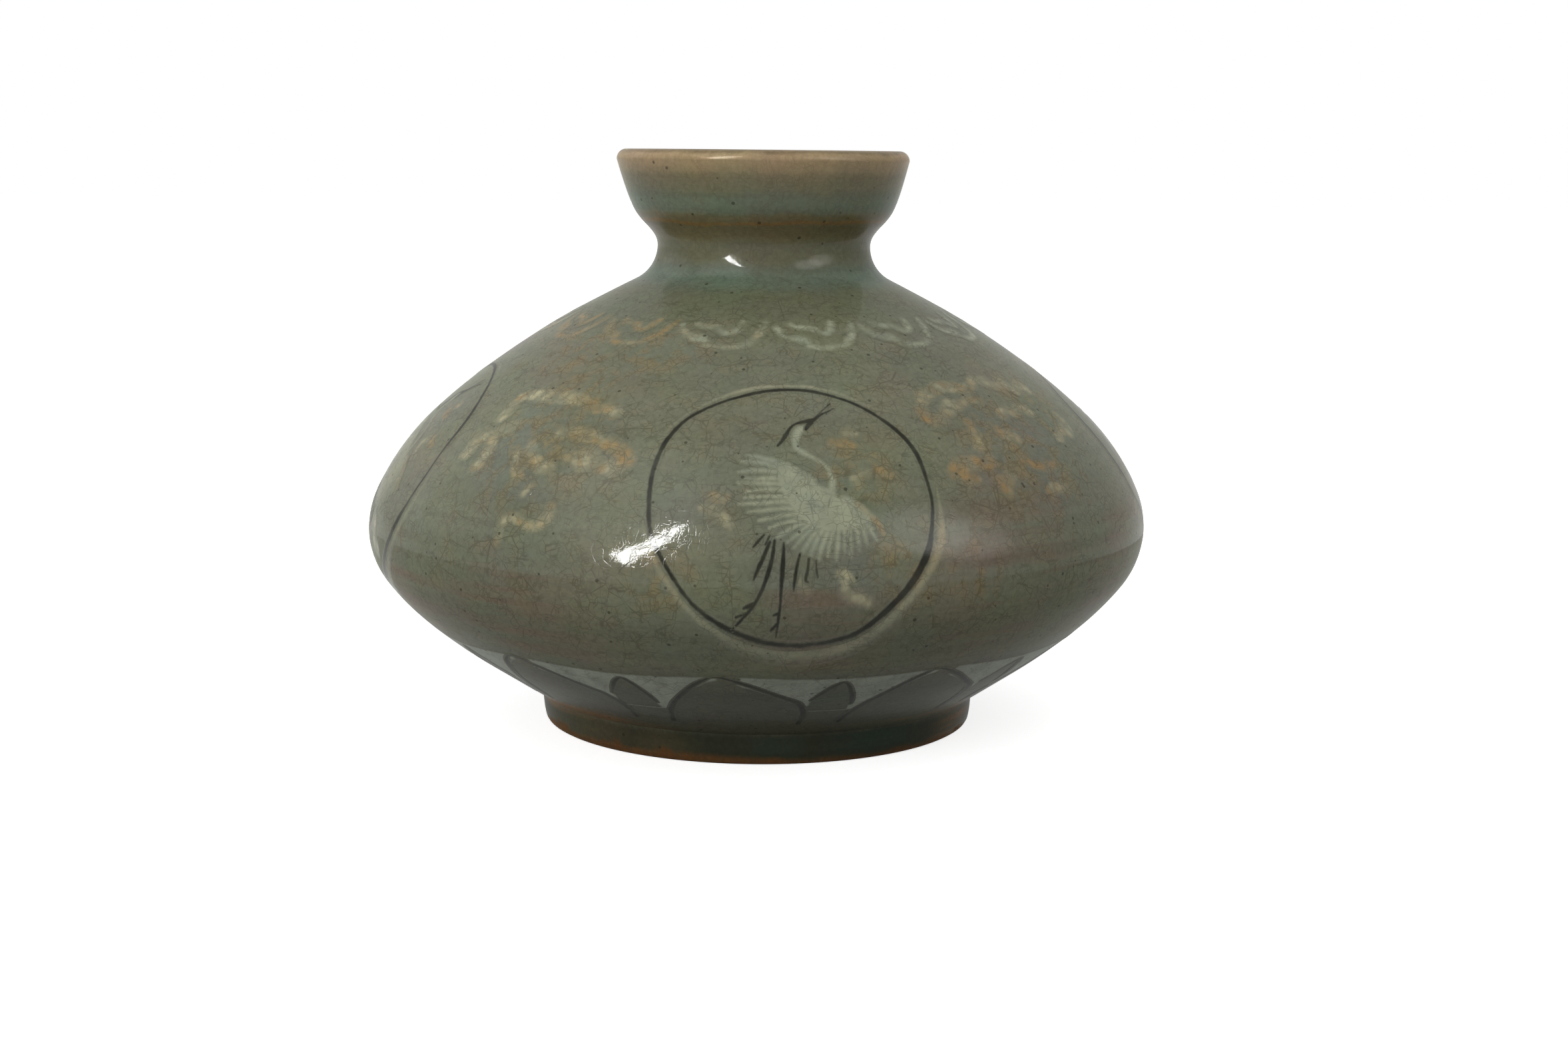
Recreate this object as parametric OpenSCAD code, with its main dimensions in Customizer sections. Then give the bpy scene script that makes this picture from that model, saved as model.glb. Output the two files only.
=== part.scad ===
// Korean celadon oil bottle: five luted clay sections with black and white clay inlays set flush in
// carved recesses. Millimetres, foot on z = 0, axis on z, front towards -y.

/* [Overall form] */
// outside diameter at the widest part of the belly
belly_d = 110; // [90:1:140]
// height from the standing edge to the top of the lip
height = 81; // [74:1:100]
// level of the widest part of the belly
belly_z = 28.8; // [24:0.2:34]
// thickness of the thrown wall
wall = 4; // [3:0.1:5.5]

/* [Foot] */
// outside diameter of the foot ring at its standing edge
foot_d = 60.8; // [50:0.2:70]
// outside diameter of the foot ring where the bowl sits on it
foot_top_d = 62.6; // [52:0.2:72]
// height of the foot ring
foot_h = 4.4; // [3:0.1:6]
// radial thickness of the foot ring
foot_wall = 6; // [4:0.1:9]
// lean of the bowl's side as it leaves the foot, in degrees from upright
foot_lean = 56; // [48:0.5:60]

/* [Bowl] */
// share of the way out from foot to belly at the middle of the bowl's side
lower_out = 0.677; // [0.62:0.005:0.7]
// share of the way up from foot to belly at the middle of the bowl's side
lower_up = 0.475; // [0.44:0.005:0.52]
// lean of the middle of the bowl's side, in degrees from upright
lower_lean = 48.7; // [45:0.5:52]

/* [Shoulder] */
// share of the way out from neck to belly just above the belly
upper_out = 0.915; // [0.89:0.005:0.93]
// share of the way up from belly to neck just above the belly
upper_up = 0.237; // [0.21:0.005:0.26]
// lean of the wall just above the belly, in degrees from upright
upper_lean = -33.4; // [-36:0.2:-30]
// share of the way out from neck to belly at the middle of the shoulder
shoulder_out = 0.611; // [0.55:0.005:0.66]
// share of the way up from belly to neck at the middle of the shoulder
shoulder_up = 0.546; // [0.5:0.005:0.6]
// lean of the shoulder's middle, in degrees from upright
shoulder_lean = -53.5; // [-57:0.5:-50]
// share of the way out from neck to belly where the neck begins
base_out = 0.214; // [0.18:0.005:0.24]
// share of the way up from belly to neck where the neck begins
base_up = 0.803; // [0.77:0.005:0.83]
// lean of the wall where the neck begins, in degrees from upright
base_lean = -62.5; // [-65:0.5:-58]

/* [Neck] */
// outside diameter at the waist of the neck
neck_d = 29.8; // [26:0.2:36]
// drop from the top of the lip to the waist of the neck
neck_drop = 13.4; // [12:0.2:16]
// diameter of the throat, a plain bore through neck and cup floor
throat_d = 18; // [12:0.5:20]

/* [Cup] */
// outside diameter of the mouth
mouth_d = 41; // [38:0.5:46]
// outside diameter at the foot of the cup's wall
cup_base_d = 37; // [35:0.5:38]
// drop from the top of the lip to the foot of the cup's wall
cup_drop = 7.7; // [6.8:0.1:9]
// radius of the rounded lip
lip_r = 1.4; // [1:0.1:1.8]
// depth of the cup, from the top of the lip to the edge of its floor
cup_depth = 6.8; // [5.5:0.1:7.4]
// fall of the cup's floor from its edge to the throat
floor_fall = 1.8; // [1:0.1:2.2]

/* [Inlay] */
// depth of every carved recess and of the clay set in it
inlay_depth = 0.6; // [0.4:0.05:1]
// azimuths of the four roundels, in degrees to the right of the front
roundel_az = [4.5, 94, 184, -79];
// azimuths of the four cloud groups between the roundels
cloud_az = [45, 139, 233, -38];
// rise of the roundels' drawing plane above the widest level, as a share of the belly's radius
roundel_up = 0.14; // [0.12:0.005:0.16]
// rise of the cloud groups' drawing plane above the belly line
cloud_rise = 14.2; // [12:0.2:15]
// radius of the black ring, to the middle of its line
ring_r = 16.8; // [14:0.2:17]
// height of the ring's centre over the drawing plane's origin
ring_up = 3.3; // [2.5:0.1:4]
// width of the black ring's line
ring_line = 0.7; // [0.4:0.05:1]
// shift of the ring's inner edge, which makes the line heavier at the lower right
ring_shift = 0.15; // [0:0.01:0.2]
// width of the white line just outside the black ring
halo_line = 0.45; // [0.3:0.05:0.6]

/* [Collar] */
// number of lappets in the collar on the shoulder
lappets = 14; // [10:1:15]
// azimuth of the first lappet
lappet_az = 14.3; // [0:0.1:30]
// drop of the lappets' drawing plane below the neck's beginning
lappet_drop = 2.5; // [2:0.1:4]
// radius of a lappet's outer line
lappet_r = 5.4; // [4.4:0.1:5.6]
// radius of a lappet's inner scroll
scroll_r = 2.7; // [2:0.1:3]
// width of the collar's lines
lappet_line = 0.65; // [0.4:0.05:0.9]

/* [Lotus band] */
// number of petals round the foot
petals = 10; // [7:1:10]
// azimuth of the first petal
petal_az = -4; // [-18:0.5:18]
// rise of the petals' drawing plane above the foot ring
petal_rise = 6.6; // [5.5:0.1:7.5]
// half width of a petal at its widest
petal_half = 8.6; // [7:0.1:9]
// height of a petal's point over its widest level
petal_tip = 13.7; // [13.5:0.1:14.2]
// fall of the petal's widest level below the drawing plane's origin
petal_fall = 5; // [4:0.1:6]
// half width of the small petal seen between two petals
tip_half = 3.6; // [2.5:0.1:4.5]
// height of the small petal's point over its widest level
tip_rise = 8.4; // [7:0.1:8.6]
// fall of the small petal's widest level below the drawing plane's origin
tip_fall = 2; // [1.5:0.1:3]
// width of the petals' black line
petal_line = 0.7; // [0.4:0.05:1]
// level of the straight top edge of the white ground
ground_top = 16; // [15.6:0.05:16.1]
// level where the white ground ends, between the petals
ground_low = 11; // [10:0.1:13]

/* [Hidden] */
$fn = 96;
far = 200;
chord = 0.04;
belly_r = belly_d / 2;
neck_r = neck_d / 2;
mouth_r = mouth_d / 2;
throat_r = throat_d / 2;
neck_z = height - neck_drop;
cup_z = height - cup_drop;
lip_z = height - lip_r;

function share(a, b, t) = a + t * (b - a);
function lean_dir(a) = [sin(a), cos(a)];
function out_of(t) = [t[1], -t[0]];

lower_p = [share(foot_top_d / 2, belly_r, lower_out), share(foot_h, belly_z, lower_up)];
upper_p = [share(neck_r, belly_r, upper_out), share(belly_z, neck_z, upper_up)];
shoulder_p = [share(neck_r, belly_r, shoulder_out), share(belly_z, neck_z, shoulder_up)];
base_p = [share(neck_r, belly_r, base_out), share(belly_z, neck_z, base_up)];
ridge_p = [share(neck_r, cup_base_d / 2, 0.48), share(neck_z, cup_z, 0.52)];

// profile stations from the foot up: point and lean
stations = [
    [[foot_top_d / 2, foot_h], foot_lean],
    [lower_p, lower_lean],
    [[belly_r, belly_z], 0],
    [upper_p, upper_lean],
    [shoulder_p, shoulder_lean],
    [base_p, base_lean],
    [[neck_r, neck_z], 0],
    [ridge_p, 46],
    [[cup_base_d / 2, cup_z], 22],
    [[mouth_r, lip_z], 15]
];

// two arcs that meet smoothly carry the profile from one station to the next
function reach(v, t0, t1) =
    let (k = 1 - t0 * t1, s = v * (t0 + t1))
    k < 0.00001 ? v * v / (2 * s) : (sqrt(s * s + 2 * k * v * v) - s) / (2 * k);
function joint(p, t0, q, t1) =
    let (d = reach(q - p, t0, t1)) (p + d * t0 + q - d * t1) / 2;
function arc_centre(p, t, q) =
    let (n = [-t[1], t[0]], w = q - p) p + n * (w * w) / (2 * (n * w));

// an arc is [start, end, centre, radius, side]; side is 1 where it bulges out, -1 where it hollows
function arc(p, t, q) =
    let (c = arc_centre(p, t, q), s = (p - c) * out_of(t) > 0 ? 1 : -1) [p, q, c, norm(p - c), s];
function pair(a, b) =
    let (t0 = lean_dir(a[1]), t1 = lean_dir(b[1]), m = joint(a[0], t0, b[0], t1),
         first = arc(a[0], t0, m), n = (m - first[2]) / first[3] * first[4], tm = [-n[1], n[0]])
    [first, arc(m, tm, b[0])];
arcs = [for (i = [0 : len(stations) - 2]) for (a = pair(stations[i], stations[i + 1])) a];

function arc_out(a, p) = (p - a[2]) / a[3] * a[4];
function arc_at(z) = [for (a = arcs) if (z >= a[0][1] && z < a[1][1]) a][0];
function wall_r(z) =
    let (a = arc_at(z)) a[2][0] + a[4] * sqrt(a[3] * a[3] - (z - a[2][1]) * (z - a[2][1]));
function wall_lean(z) = let (a = arc_at(z), n = arc_out(a, [wall_r(z), z])) atan2(-n[1], n[0]);

// the wall is turned in cones whose chords stray from the arcs by no more than chord
function arc_turn(a) =
    let (u = arc_out(a, a[0]), v = arc_out(a, a[1])) atan2(u[0] * v[1] - u[1] * v[0], u * v);
function arc_steps(a) = max(1, ceil(abs(arc_turn(a)) / (sqrt(8 * chord / a[3]) * 180 / PI)));
function turned(v, d) = [v[0] * cos(d) - v[1] * sin(d), v[0] * sin(d) + v[1] * cos(d)];
function arc_points(a, inset) =
    let (n = arc_steps(a), d = arc_turn(a) / n)
    [for (i = [0 : n - 1]) let (u = turned(arc_out(a, a[0]), i * d)) a[2] + u * (a[4] * a[3] - inset)];

// the outside of the bottle, axis to wall, drawn in by inset
module outline(inset) {
    last = arcs[len(arcs) - 1];
    points = concat([for (a = arcs) each arc_points(a, inset)],
                    [last[1] - inset * arc_out(last, last[1])]);
    polygon(concat([[0, points[0][1]]], points, [[0, points[len(points) - 1][1]]]));
}

module level_band(low, high) {
    translate([0, low]) square([far, high - low]);
}

// thin skin of the body that the inlays fill, and the deeper cutter that opens their recesses
module skin(outer, low, high) {
    rotate_extrude() intersection() {
        difference() {
            outline(-outer);
            outline(inlay_depth);
        }
        level_band(low, high);
    }
}

// drawing plane that touches the wall at level z, seen straight on
module on_wall(az, z) {
    rotate([0, 0, az]) translate([0, -wall_r(z), z]) rotate([90 + wall_lean(z), 0, 0]) children();
}
module punch(az, z, deep) {
    on_wall(az, z) translate([0, 0, -deep]) linear_extrude(deep + 5) children();
}

roundel_z = belly_z + roundel_up * belly_r;
cloud_z = belly_z + cloud_rise;
lappet_z = base_p[1] - lappet_drop;
petal_z = foot_h + petal_rise;
body_low = foot_h + 0.5;
body_high = base_p[1] - 0.3;

// one circle band of a roundel, between two radii
module ring_line_2d(r_in, r_out, shift) {
    difference() {
        translate([0, ring_up]) circle(r = r_out);
        translate([-shift, ring_up + shift]) circle(r = r_in);
    }
}
module ring_2d() {
    ring_line_2d(ring_r - ring_line / 2, ring_r + ring_line / 2, ring_shift);
}
module halo_2d() {
    halo_in = ring_r + ring_line / 2 + 0.15;
    ring_line_2d(halo_in, halo_in + halo_line, 0);
}

// crane in flight: head, neck, spread wings with feather tips
module crane_shape_2d() {
    polygon([
        [1.1, 13.6], [1.9, 14.3], [2.7, 13.9], [2.2, 13.0], [1.5, 12.2], [1.3, 11.2], [1.6, 10.3],
        [2.6, 9.5], [3.8, 8.8], [4.7, 7.7], [5.2, 6.4], [5.5, 5.0], [5.9, 3.9], [6.4, 3.3],
        [7.0, 3.6], [7.9, 3.0], [9.2, 2.2], [10.4, 1.2], [11.3, -0.4], [11.3, -1.2], [10.2, -1.3],
        [9.9, -2.4], [8.9, -1.8], [8.1, -3.4], [7.4, -2.4], [6.9, -4.3], [6.2, -2.9], [5.5, -4.8],
        [4.8, -3.2], [4.1, -4.7], [3.5, -3.1], [2.7, -4.5], [2.3, -2.8], [1.4, -4.2], [1.1, -2.4],
        [0.1, -3.3], [0.1, -1.8], [-1.0, -2.8], [-0.5, -1.1], [-2.1, -1.8], [-1.1, -0.5],
        [-3.4, -0.9], [-1.8, 0.4], [-4.6, 0.2], [-2.3, 1.3], [-5.6, 1.8], [-2.6, 2.4], [-6.3, 2.9],
        [-3.0, 3.5], [-6.6, 4.3], [-3.2, 4.8], [-6.9, 5.7], [-3.2, 6.0], [-6.5, 7.1], [-3.0, 7.2],
        [-6.1, 8.4], [-3.0, 8.2], [-5.2, 9.4], [-3.2, 8.9], [-1.2, 8.2], [0.8, 7.1], [2.3, 6.1],
        [3.5, 4.9], [3.9, 5.4], [3.7, 6.4], [3.2, 7.4], [2.4, 8.3], [1.3, 9.0], [0.5, 10.0],
        [0.3, 11.2], [0.5, 12.5]
    ]);
}
module crane_2d() {
    difference() {
        crane_shape_2d();
        crane_lines_2d();
    }
}

// black strokes: crest and bill, two long legs with toes, tail feathers
module crane_lines_2d() {
    polygon([
        [-1.6, 10.6], [-1.1, 10.7], [0, 12.7], [0.8, 13.8], [1.8, 14.3], [1.9, 13.3], [2.3, 13.2],
        [3.2, 14.5], [5.8, 16.9], [3.0, 15.2], [1.8, 14.9], [0.4, 14.2], [-0.5, 12.9]
    ]);
    polygon([
        [-2.4, -2.2], [-2.2, -3.2], [-3.0, -6.1], [-3.6, -8.0], [-4.3, -9.5], [-5.6, -11.1],
        [-6.4, -11.6], [-6.7, -11.3], [-5.9, -10.7], [-6.4, -10.5], [-6.3, -10.2], [-5.5, -10.3],
        [-5.1, -9.9], [-5.8, -9.8], [-5.7, -9.5], [-4.7, -9.3], [-3.9, -7.8], [-3.3, -6.0], [-2.6, -3.3]
    ]);
    polygon([
        [-1.5, -3.0], [-1.1, -3.0], [-1.1, -7.0], [-1.2, -12.4], [-1.5, -12.5], [-1.5, -11.7],
        [-2.1, -12.0], [-2.2, -11.6], [-1.5, -11.2], [-1.5, -10.8], [-2.1, -10.7], [-2.0, -10.4],
        [-1.5, -10.3], [-1.6, -7.0]
    ]);
    polygon([[-2.9, -2.6], [-2.6, -2.8], [-4.4, -7.0], [-4.8, -6.9], [-3.5, -4.4]]);
    polygon([[-3.9, -1.7], [-3.6, -1.9], [-4.7, -3.4], [-5.0, -3.1]]);
    polygon([[0.6, -4.0], [0.9, -4.1], [0.5, -8.2], [0.1, -8.2]]);
    polygon([[1.7, -4.7], [2.0, -4.7], [1.9, -7.4], [1.5, -7.4]]);
    polygon([[2.7, -5.0], [2.9, -5.0], [3.1, -6.8], [2.8, -6.8]]);
}

// small cloud wisps inside a roundel
module wisps_2d() {
    polygon([[-11.2, 2.6], [-9.8, 1.6], [-7.8, 0.2], [-7.9, -0.5], [-9.6, -0.1], [-10.8, 0.7]]);
    polygon([[5.9, -6.0], [7.4, -6.2], [7.8, -8.0], [9.4, -8.8], [9.0, -9.4], [6.8, -8.8], [5.8, -7.6]]);
    polygon([[7.4, 6.2], [8.9, 7.2], [9.8, 7.0], [8.6, 6.2], [8.4, 4.8], [7.8, 4.8]]);
    polygon([[5.0, 11.6], [6.6, 12.2], [8.2, 11.4], [7.8, 10.6], [6.2, 11.0], [5.2, 10.6]]);
}

// cloud group with a long crest, a curl at each end and a small cloud under it
module cloud_left_2d() {
    polygon([
        [-10.5, 9.6], [-5, 10.2], [0, 10.2], [4.5, 9.8], [9, 9.2], [9.6, 7.6], [6, 7.6], [2, 8.3],
        [-3, 8.3], [-8.5, 8.4]
    ]);
    polygon([
        [-10, 7], [-8.2, 7], [-6.8, 4.2], [-6.6, 2.6], [-8, 0], [-9.6, -2], [-12, -1.4], [-11.6, 1.6],
        [-9, 2.8], [-9.8, 4.8]
    ]);
    polygon([[-8.6, -2.4], [-7.2, -2.6], [-6.2, -4.6], [-7.6, -5]]);
    polygon([
        [5, 4.4], [9, 4.2], [12.6, 3.6], [14.6, 2], [14.4, -0.6], [12.4, -1.4], [12.2, -0.2],
        [13.2, 0.8], [12.6, 2.2], [9, 2.8], [6.4, 2.6]
    ]);
    polygon([[7, 0.8], [10.2, 1.2], [10.6, -0.8], [8, -1.2]]);
    polygon([[2, -1.2], [5, -1.4], [5.4, -2.6], [2.6, -3]]);
    polygon([
        [0, -9.6], [6.4, -9.6], [7.6, -7.2], [8.6, -8.6], [7, -10.6], [2, -10.6], [1.6, -12.4], [0.2, -12.2]
    ]);
}

// cloud group of broken bars and dots
module cloud_right_2d() {
    polygon([
        [-11, 10.8], [-9, 11.9], [-5.5, 12.7], [-1.5, 12.2], [0.2, 11.6], [-1, 10.6], [-5, 10.9],
        [-8.5, 10.4]
    ]);
    polygon([[3, 12.6], [5, 12.4], [5.2, 11.2], [3.6, 11]]);
    polygon([[8, 10.4], [10.5, 11.8], [12.4, 11.6], [12.8, 10.2], [9.4, 9]]);
    polygon([[-12, 9.4], [-10.2, 9.2], [-10, 6.6], [-11.6, 6.8]]);
    polygon([[-7, 9.8], [-5, 9.6], [-4.4, 8.4], [-6.6, 8.2]]);
    polygon([[1, 6.8], [4, 7.2], [8.6, 7.4], [8.4, 6.4], [4, 6.2], [1.2, 5.8]]);
    polygon([[10, 2.2], [13, 4], [15, 4.6], [14.8, 3], [12.6, 1.8], [10.6, 1.2]]);
    polygon([
        [-12.8, -1], [-11.6, 0.4], [-9, 0.6], [-6.6, 0], [-6.8, -1.6], [-9, -1.4], [-11, -2.8],
        [-12.4, -2.4]
    ]);
    polygon([[-7.8, -4.4], [-6.6, -3.2], [-4.4, -3.2], [-4.6, -4.6], [-6.4, -5.6]]);
}

// hanging lappet: an outer line, an inner scroll and a curl
module lappet_2d() {
    intersection() {
        union() {
            translate([0, 2.2]) difference() {
                circle(r = lappet_r);
                circle(r = lappet_r - lappet_line);
            }
            translate([0.2, 2.4]) difference() {
                circle(r = scroll_r);
                circle(r = scroll_r - lappet_line);
            }
        }
        translate([-7, -5]) square([14, 7]);
    }
    translate([-2.8, -1]) circle(r = 0.8);
}

// pointed arch of a given half width and height, narrowed by trim
module arch_2d(half, tip, fall, trim) {
    total = tip * tip / half;
    r = (total + half) / 2;
    c = (total - half) / 2;
    translate([0, -fall]) intersection() {
        translate([-c, 0]) circle(r = r - trim);
        translate([c, 0]) circle(r = r - trim);
    }
}
module petal_2d(trim) {
    arch_2d(petal_half, petal_tip, petal_fall, trim);
}
module tip_2d(trim) {
    intersection() {
        arch_2d(tip_half, tip_rise, tip_fall, trim);
        translate([-2 * tip_half, -2 * tip_fall]) square([4 * tip_half, 2 * tip_fall + tip_rise]);
    }
}
function petal_turn(i) = petal_az + i * 360 / petals;

module petal_punch(i, trim) {
    punch(petal_turn(i), petal_z, 9) petal_2d(trim);
}
module tip_punch(i, trim) {
    punch(petal_turn(i + 0.5), petal_z, 9) tip_2d(trim);
}

// the punches of each inlay; recess and inlay are both cut with them
module roundel_punch(i) {
    punch(roundel_az[i], roundel_z, belly_r / 2) children();
}
module cloud_punch(i) {
    punch(cloud_az[i], cloud_z, belly_r / 2)
        if (i % 2 == 0) cloud_right_2d();
        else cloud_left_2d();
}
module lappet_punch(i) {
    punch(lappet_az + i * 360 / lappets, lappet_z, 4) lappet_2d();
}

module body_punches() {
    for (i = [0 : 3]) {
        roundel_punch(i) {
            ring_2d();
            halo_2d();
            crane_shape_2d();
            crane_lines_2d();
            wisps_2d();
        }
        cloud_punch(i);
    }
}

module inside() {
    intersection() {
        outline(wall);
        level_band(0, base_p[1]);
    }
    square([throat_r, height]);
}
module section(low, high) {
    rotate_extrude() difference() {
        intersection() {
            outline(0);
            level_band(low, high);
        }
        inside();
    }
}

// the pieces

module foot_ring() color([0.42, 0.36, 0.27])
    rotate_extrude() polygon([
        [foot_d / 2 - foot_wall, 0.4], [foot_d / 2 - foot_wall + 0.4, 0], [foot_d / 2 - 0.5, 0],
        [foot_d / 2, 0.5], [foot_top_d / 2, foot_h], [foot_top_d / 2 - foot_wall - 0.6, foot_h]
    ]);

module lower_body() color([0.46, 0.50, 0.42]) difference() {
    section(foot_h, belly_z);
    intersection() {
        body_punches();
        skin(1, ground_top + 0.2, belly_z + 1);
    }
    intersection() {
        union() {
            for (i = [0 : petals - 1]) {
                difference() {
                    petal_punch(i, 0);
                    petal_punch(i, petal_line);
                }
            }
        }
        skin(1, body_low, ground_top + 2);
    }
    lotus_tips_cut(1);
    lotus_ground_cut(1);
}

module upper_body() color([0.48, 0.53, 0.45]) difference() {
    section(belly_z, base_p[1]);
    intersection() {
        body_punches();
        skin(1, belly_z - 1, body_high);
    }
    intersection() {
        for (i = [0 : lappets - 1]) lappet_punch(i);
        skin(1, shoulder_p[1], body_high);
    }
}

module neck_collar() color([0.44, 0.52, 0.45]) section(base_p[1], ridge_p[1]);

module mouth_cup() color([0.50, 0.51, 0.42])
    rotate_extrude() difference() {
        union() {
            intersection() {
                outline(0);
                level_band(ridge_p[1], height);
            }
            translate([mouth_r - lip_r, lip_z]) circle(r = lip_r);
        }
        polygon([
            [0, ridge_p[1] - 1], [throat_r, ridge_p[1] - 1], [throat_r, height - cup_depth - floor_fall],
            [mouth_r - 2 * lip_r - 2.2, height - cup_depth], [mouth_r - 2 * lip_r, lip_z],
            [mouth_r - lip_r, height + 1], [0, height + 1]
        ]);
    }

module ring(i) color([0.12, 0.12, 0.10]) intersection() {
    roundel_punch(i) ring_2d();
    skin(0, ground_top + 0.2, body_high);
}
module halo(i) color([0.74, 0.72, 0.62]) intersection() {
    roundel_punch(i) halo_2d();
    skin(0, ground_top + 0.2, body_high);
}
module crane(i) color([0.80, 0.80, 0.70]) intersection() {
    roundel_punch(i) crane_2d();
    skin(0, belly_z - 6, body_high);
}
module crane_lines(i) color([0.10, 0.10, 0.09]) intersection() {
    roundel_punch(i) crane_lines_2d();
    skin(0, ground_top + 0.2, body_high);
}
module wisps(i) color([0.72, 0.66, 0.52]) intersection() {
    roundel_punch(i) wisps_2d();
    skin(0, ground_top + 0.2, body_high);
}
module cloud(i) color([0.76, 0.68, 0.52]) intersection() {
    cloud_punch(i);
    skin(0, ground_top + 0.2, body_high);
}
module lappet(i) color([0.76, 0.77, 0.68]) intersection() {
    lappet_punch(i);
    skin(0, shoulder_p[1], body_high);
}
module petal(i) color([0.13, 0.13, 0.11]) intersection() {
    difference() {
        petal_punch(i, 0);
        petal_punch(i, petal_line);
    }
    skin(0, body_low, ground_top + 2);
}
module lotus_tips_cut(outer) {
    intersection() {
        for (i = [0 : petals - 1]) difference() {
            tip_punch(i, 0);
            tip_punch(i, petal_line);
            petal_punch(i, 0);
            petal_punch(i + 1, 0);
        }
        skin(outer, body_low, ground_top - 0.2);
    }
}
module lotus_ground_cut(outer) {
    difference() {
        skin(outer, ground_low, ground_top);
        for (i = [0 : petals - 1]) {
            petal_punch(i, 0);
            tip_punch(i, 0);
        }
    }
}
module lotus_tips() color([0.14, 0.14, 0.12]) lotus_tips_cut(0);
module lotus_ground() color([0.80, 0.80, 0.74]) lotus_ground_cut(0);

sides = ["front", "right", "back", "left"];

foot_ring();
lower_body();
upper_body();
neck_collar();
mouth_cup();
for (i = [0 : 3]) {
    ring(i);
    halo(i);
    crane(i);
    crane_lines(i);
    wisps(i);
    cloud(i);
}
for (i = [0 : lappets - 1]) {
    lappet(i);
}
for (i = [0 : petals - 1]) {
    petal(i);
}
lotus_tips();
lotus_ground();
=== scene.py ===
import math

import bpy
import numpy as np
from mathutils import Euler, Matrix, Vector


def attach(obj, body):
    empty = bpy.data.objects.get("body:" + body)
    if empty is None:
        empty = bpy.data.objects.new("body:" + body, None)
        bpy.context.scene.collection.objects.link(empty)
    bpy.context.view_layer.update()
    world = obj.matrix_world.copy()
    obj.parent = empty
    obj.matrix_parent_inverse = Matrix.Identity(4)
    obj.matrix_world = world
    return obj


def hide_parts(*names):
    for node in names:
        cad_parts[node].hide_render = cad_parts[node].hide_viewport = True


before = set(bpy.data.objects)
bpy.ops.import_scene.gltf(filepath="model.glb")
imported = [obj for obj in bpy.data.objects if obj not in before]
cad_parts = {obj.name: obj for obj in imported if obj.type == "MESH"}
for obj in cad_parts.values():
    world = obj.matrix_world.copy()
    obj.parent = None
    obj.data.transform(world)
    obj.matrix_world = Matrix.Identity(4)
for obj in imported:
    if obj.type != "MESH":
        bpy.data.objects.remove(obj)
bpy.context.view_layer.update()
mm = 0.001


# small helpers for object and edit mode
def setMode(name):
    bpy.ops.object.mode_set(mode=name)


def clearPick():
    if bpy.context.object and bpy.context.object.mode != "OBJECT":
        setMode("OBJECT")
    bpy.ops.object.select_all(action="DESELECT")


def pick(piece):
    clearPick()
    piece.select_set(True)
    bpy.context.view_layer.objects.active = piece


def applyModifier(piece, kind, **settings):
    pick(piece)
    modifier = piece.modifiers.new(kind.lower(), kind)
    for key, value in settings.items():
        setattr(modifier, key, value)
    bpy.ops.object.modifier_apply(modifier=modifier.name)


def settle(piece):
    pick(piece)
    bpy.ops.object.transform_apply(location=True, rotation=True, scale=True)


def coordsOf(piece):
    flat = np.zeros(len(piece.data.vertices) * 3)
    piece.data.vertices.foreach_get("co", flat)
    return flat.reshape(-1, 3)


def writeCoords(piece, coords):
    piece.data.vertices.foreach_set("co", coords.ravel())
    piece.data.update()


# the thrown wall: radius, height and lean of each station in mm, joined by pairs of arcs
wall = {
    "stations": [
        (31.3, 4.4, 56), (47.35, 16.0, 48.7), (55.0, 28.8, 0), (51.6, 38.0, -33.4),
        (39.4, 50.0, -53.5), (23.5, 60.0, -62.5), (14.9, 67.6, 0), (16.6, 70.6, 46),
        (18.5, 73.3, 22), (20.5, 79.6, 15),
    ],
    "rowStep": 0.5,
    "turns": 288,
    "guideTurns": 360,
    "belly": 28.8,
    "neckBase": 60.0,
    "ridge": 70.6,
    "thick": 4.0,
    "throat": 9.0,
    "footTop": 4.4,
    "leanLow": 4.7,  # the lean is read between these two levels
    "leanHigh": 79.2,
    "weld": 0.002,
    "smoothAngle": 40,
    "normalReach": 0.08,
}


def arcRow(start, way, end, step):
    side = np.array([-way[1], way[0]])
    reach = end - start
    off = 2 * side @ reach
    if abs(off) < 1e-6:
        count = max(1, math.ceil(np.linalg.norm(reach) / step))
        return [start + reach * i / count for i in range(count)]
    radius = reach @ reach / off
    centre = start + side * radius
    turn = 2 * math.atan2(side @ reach, way @ reach)
    count = max(1, math.ceil(abs(turn * radius) / step))
    spokes = []
    for i in range(count):
        c, s = math.cos(turn * i / count), math.sin(turn * i / count)
        x, y = start - centre
        spokes.append(centre + np.array([x * c - y * s, x * s + y * c]))
    return spokes


def wallRow(stations, step):
    row = []
    for (ra, za, la), (rb, zb, lb) in zip(stations, stations[1:]):
        p, q = np.array([ra, za]), np.array([rb, zb])
        u = np.array([math.sin(math.radians(la)), math.cos(math.radians(la))])
        v = np.array([math.sin(math.radians(lb)), math.cos(math.radians(lb))])
        w = q - p
        k, s = 1 - u @ v, w @ (u + v)
        d = w @ w / (2 * s) if k < 1e-5 else (math.sqrt(s * s + 2 * k * (w @ w)) - s) / (2 * k)
        middle = (p + d * u + q - d * v) / 2
        chord = middle - p
        bend = 2 * math.atan2(u[0] * chord[1] - u[1] * chord[0], u @ chord)
        turned = np.array([u[0] * math.cos(bend) - u[1] * math.sin(bend),
                           u[0] * math.sin(bend) + u[1] * math.cos(bend)])
        row += arcRow(p, u, middle, step) + arcRow(middle, turned, q, step)
    return np.array(row + [np.array(stations[-1][:2])])


outerRow = wallRow(wall["stations"], wall["rowStep"])


def wallRadius(z):
    return np.interp(z, outerRow[:, 1], outerRow[:, 0])


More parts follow.
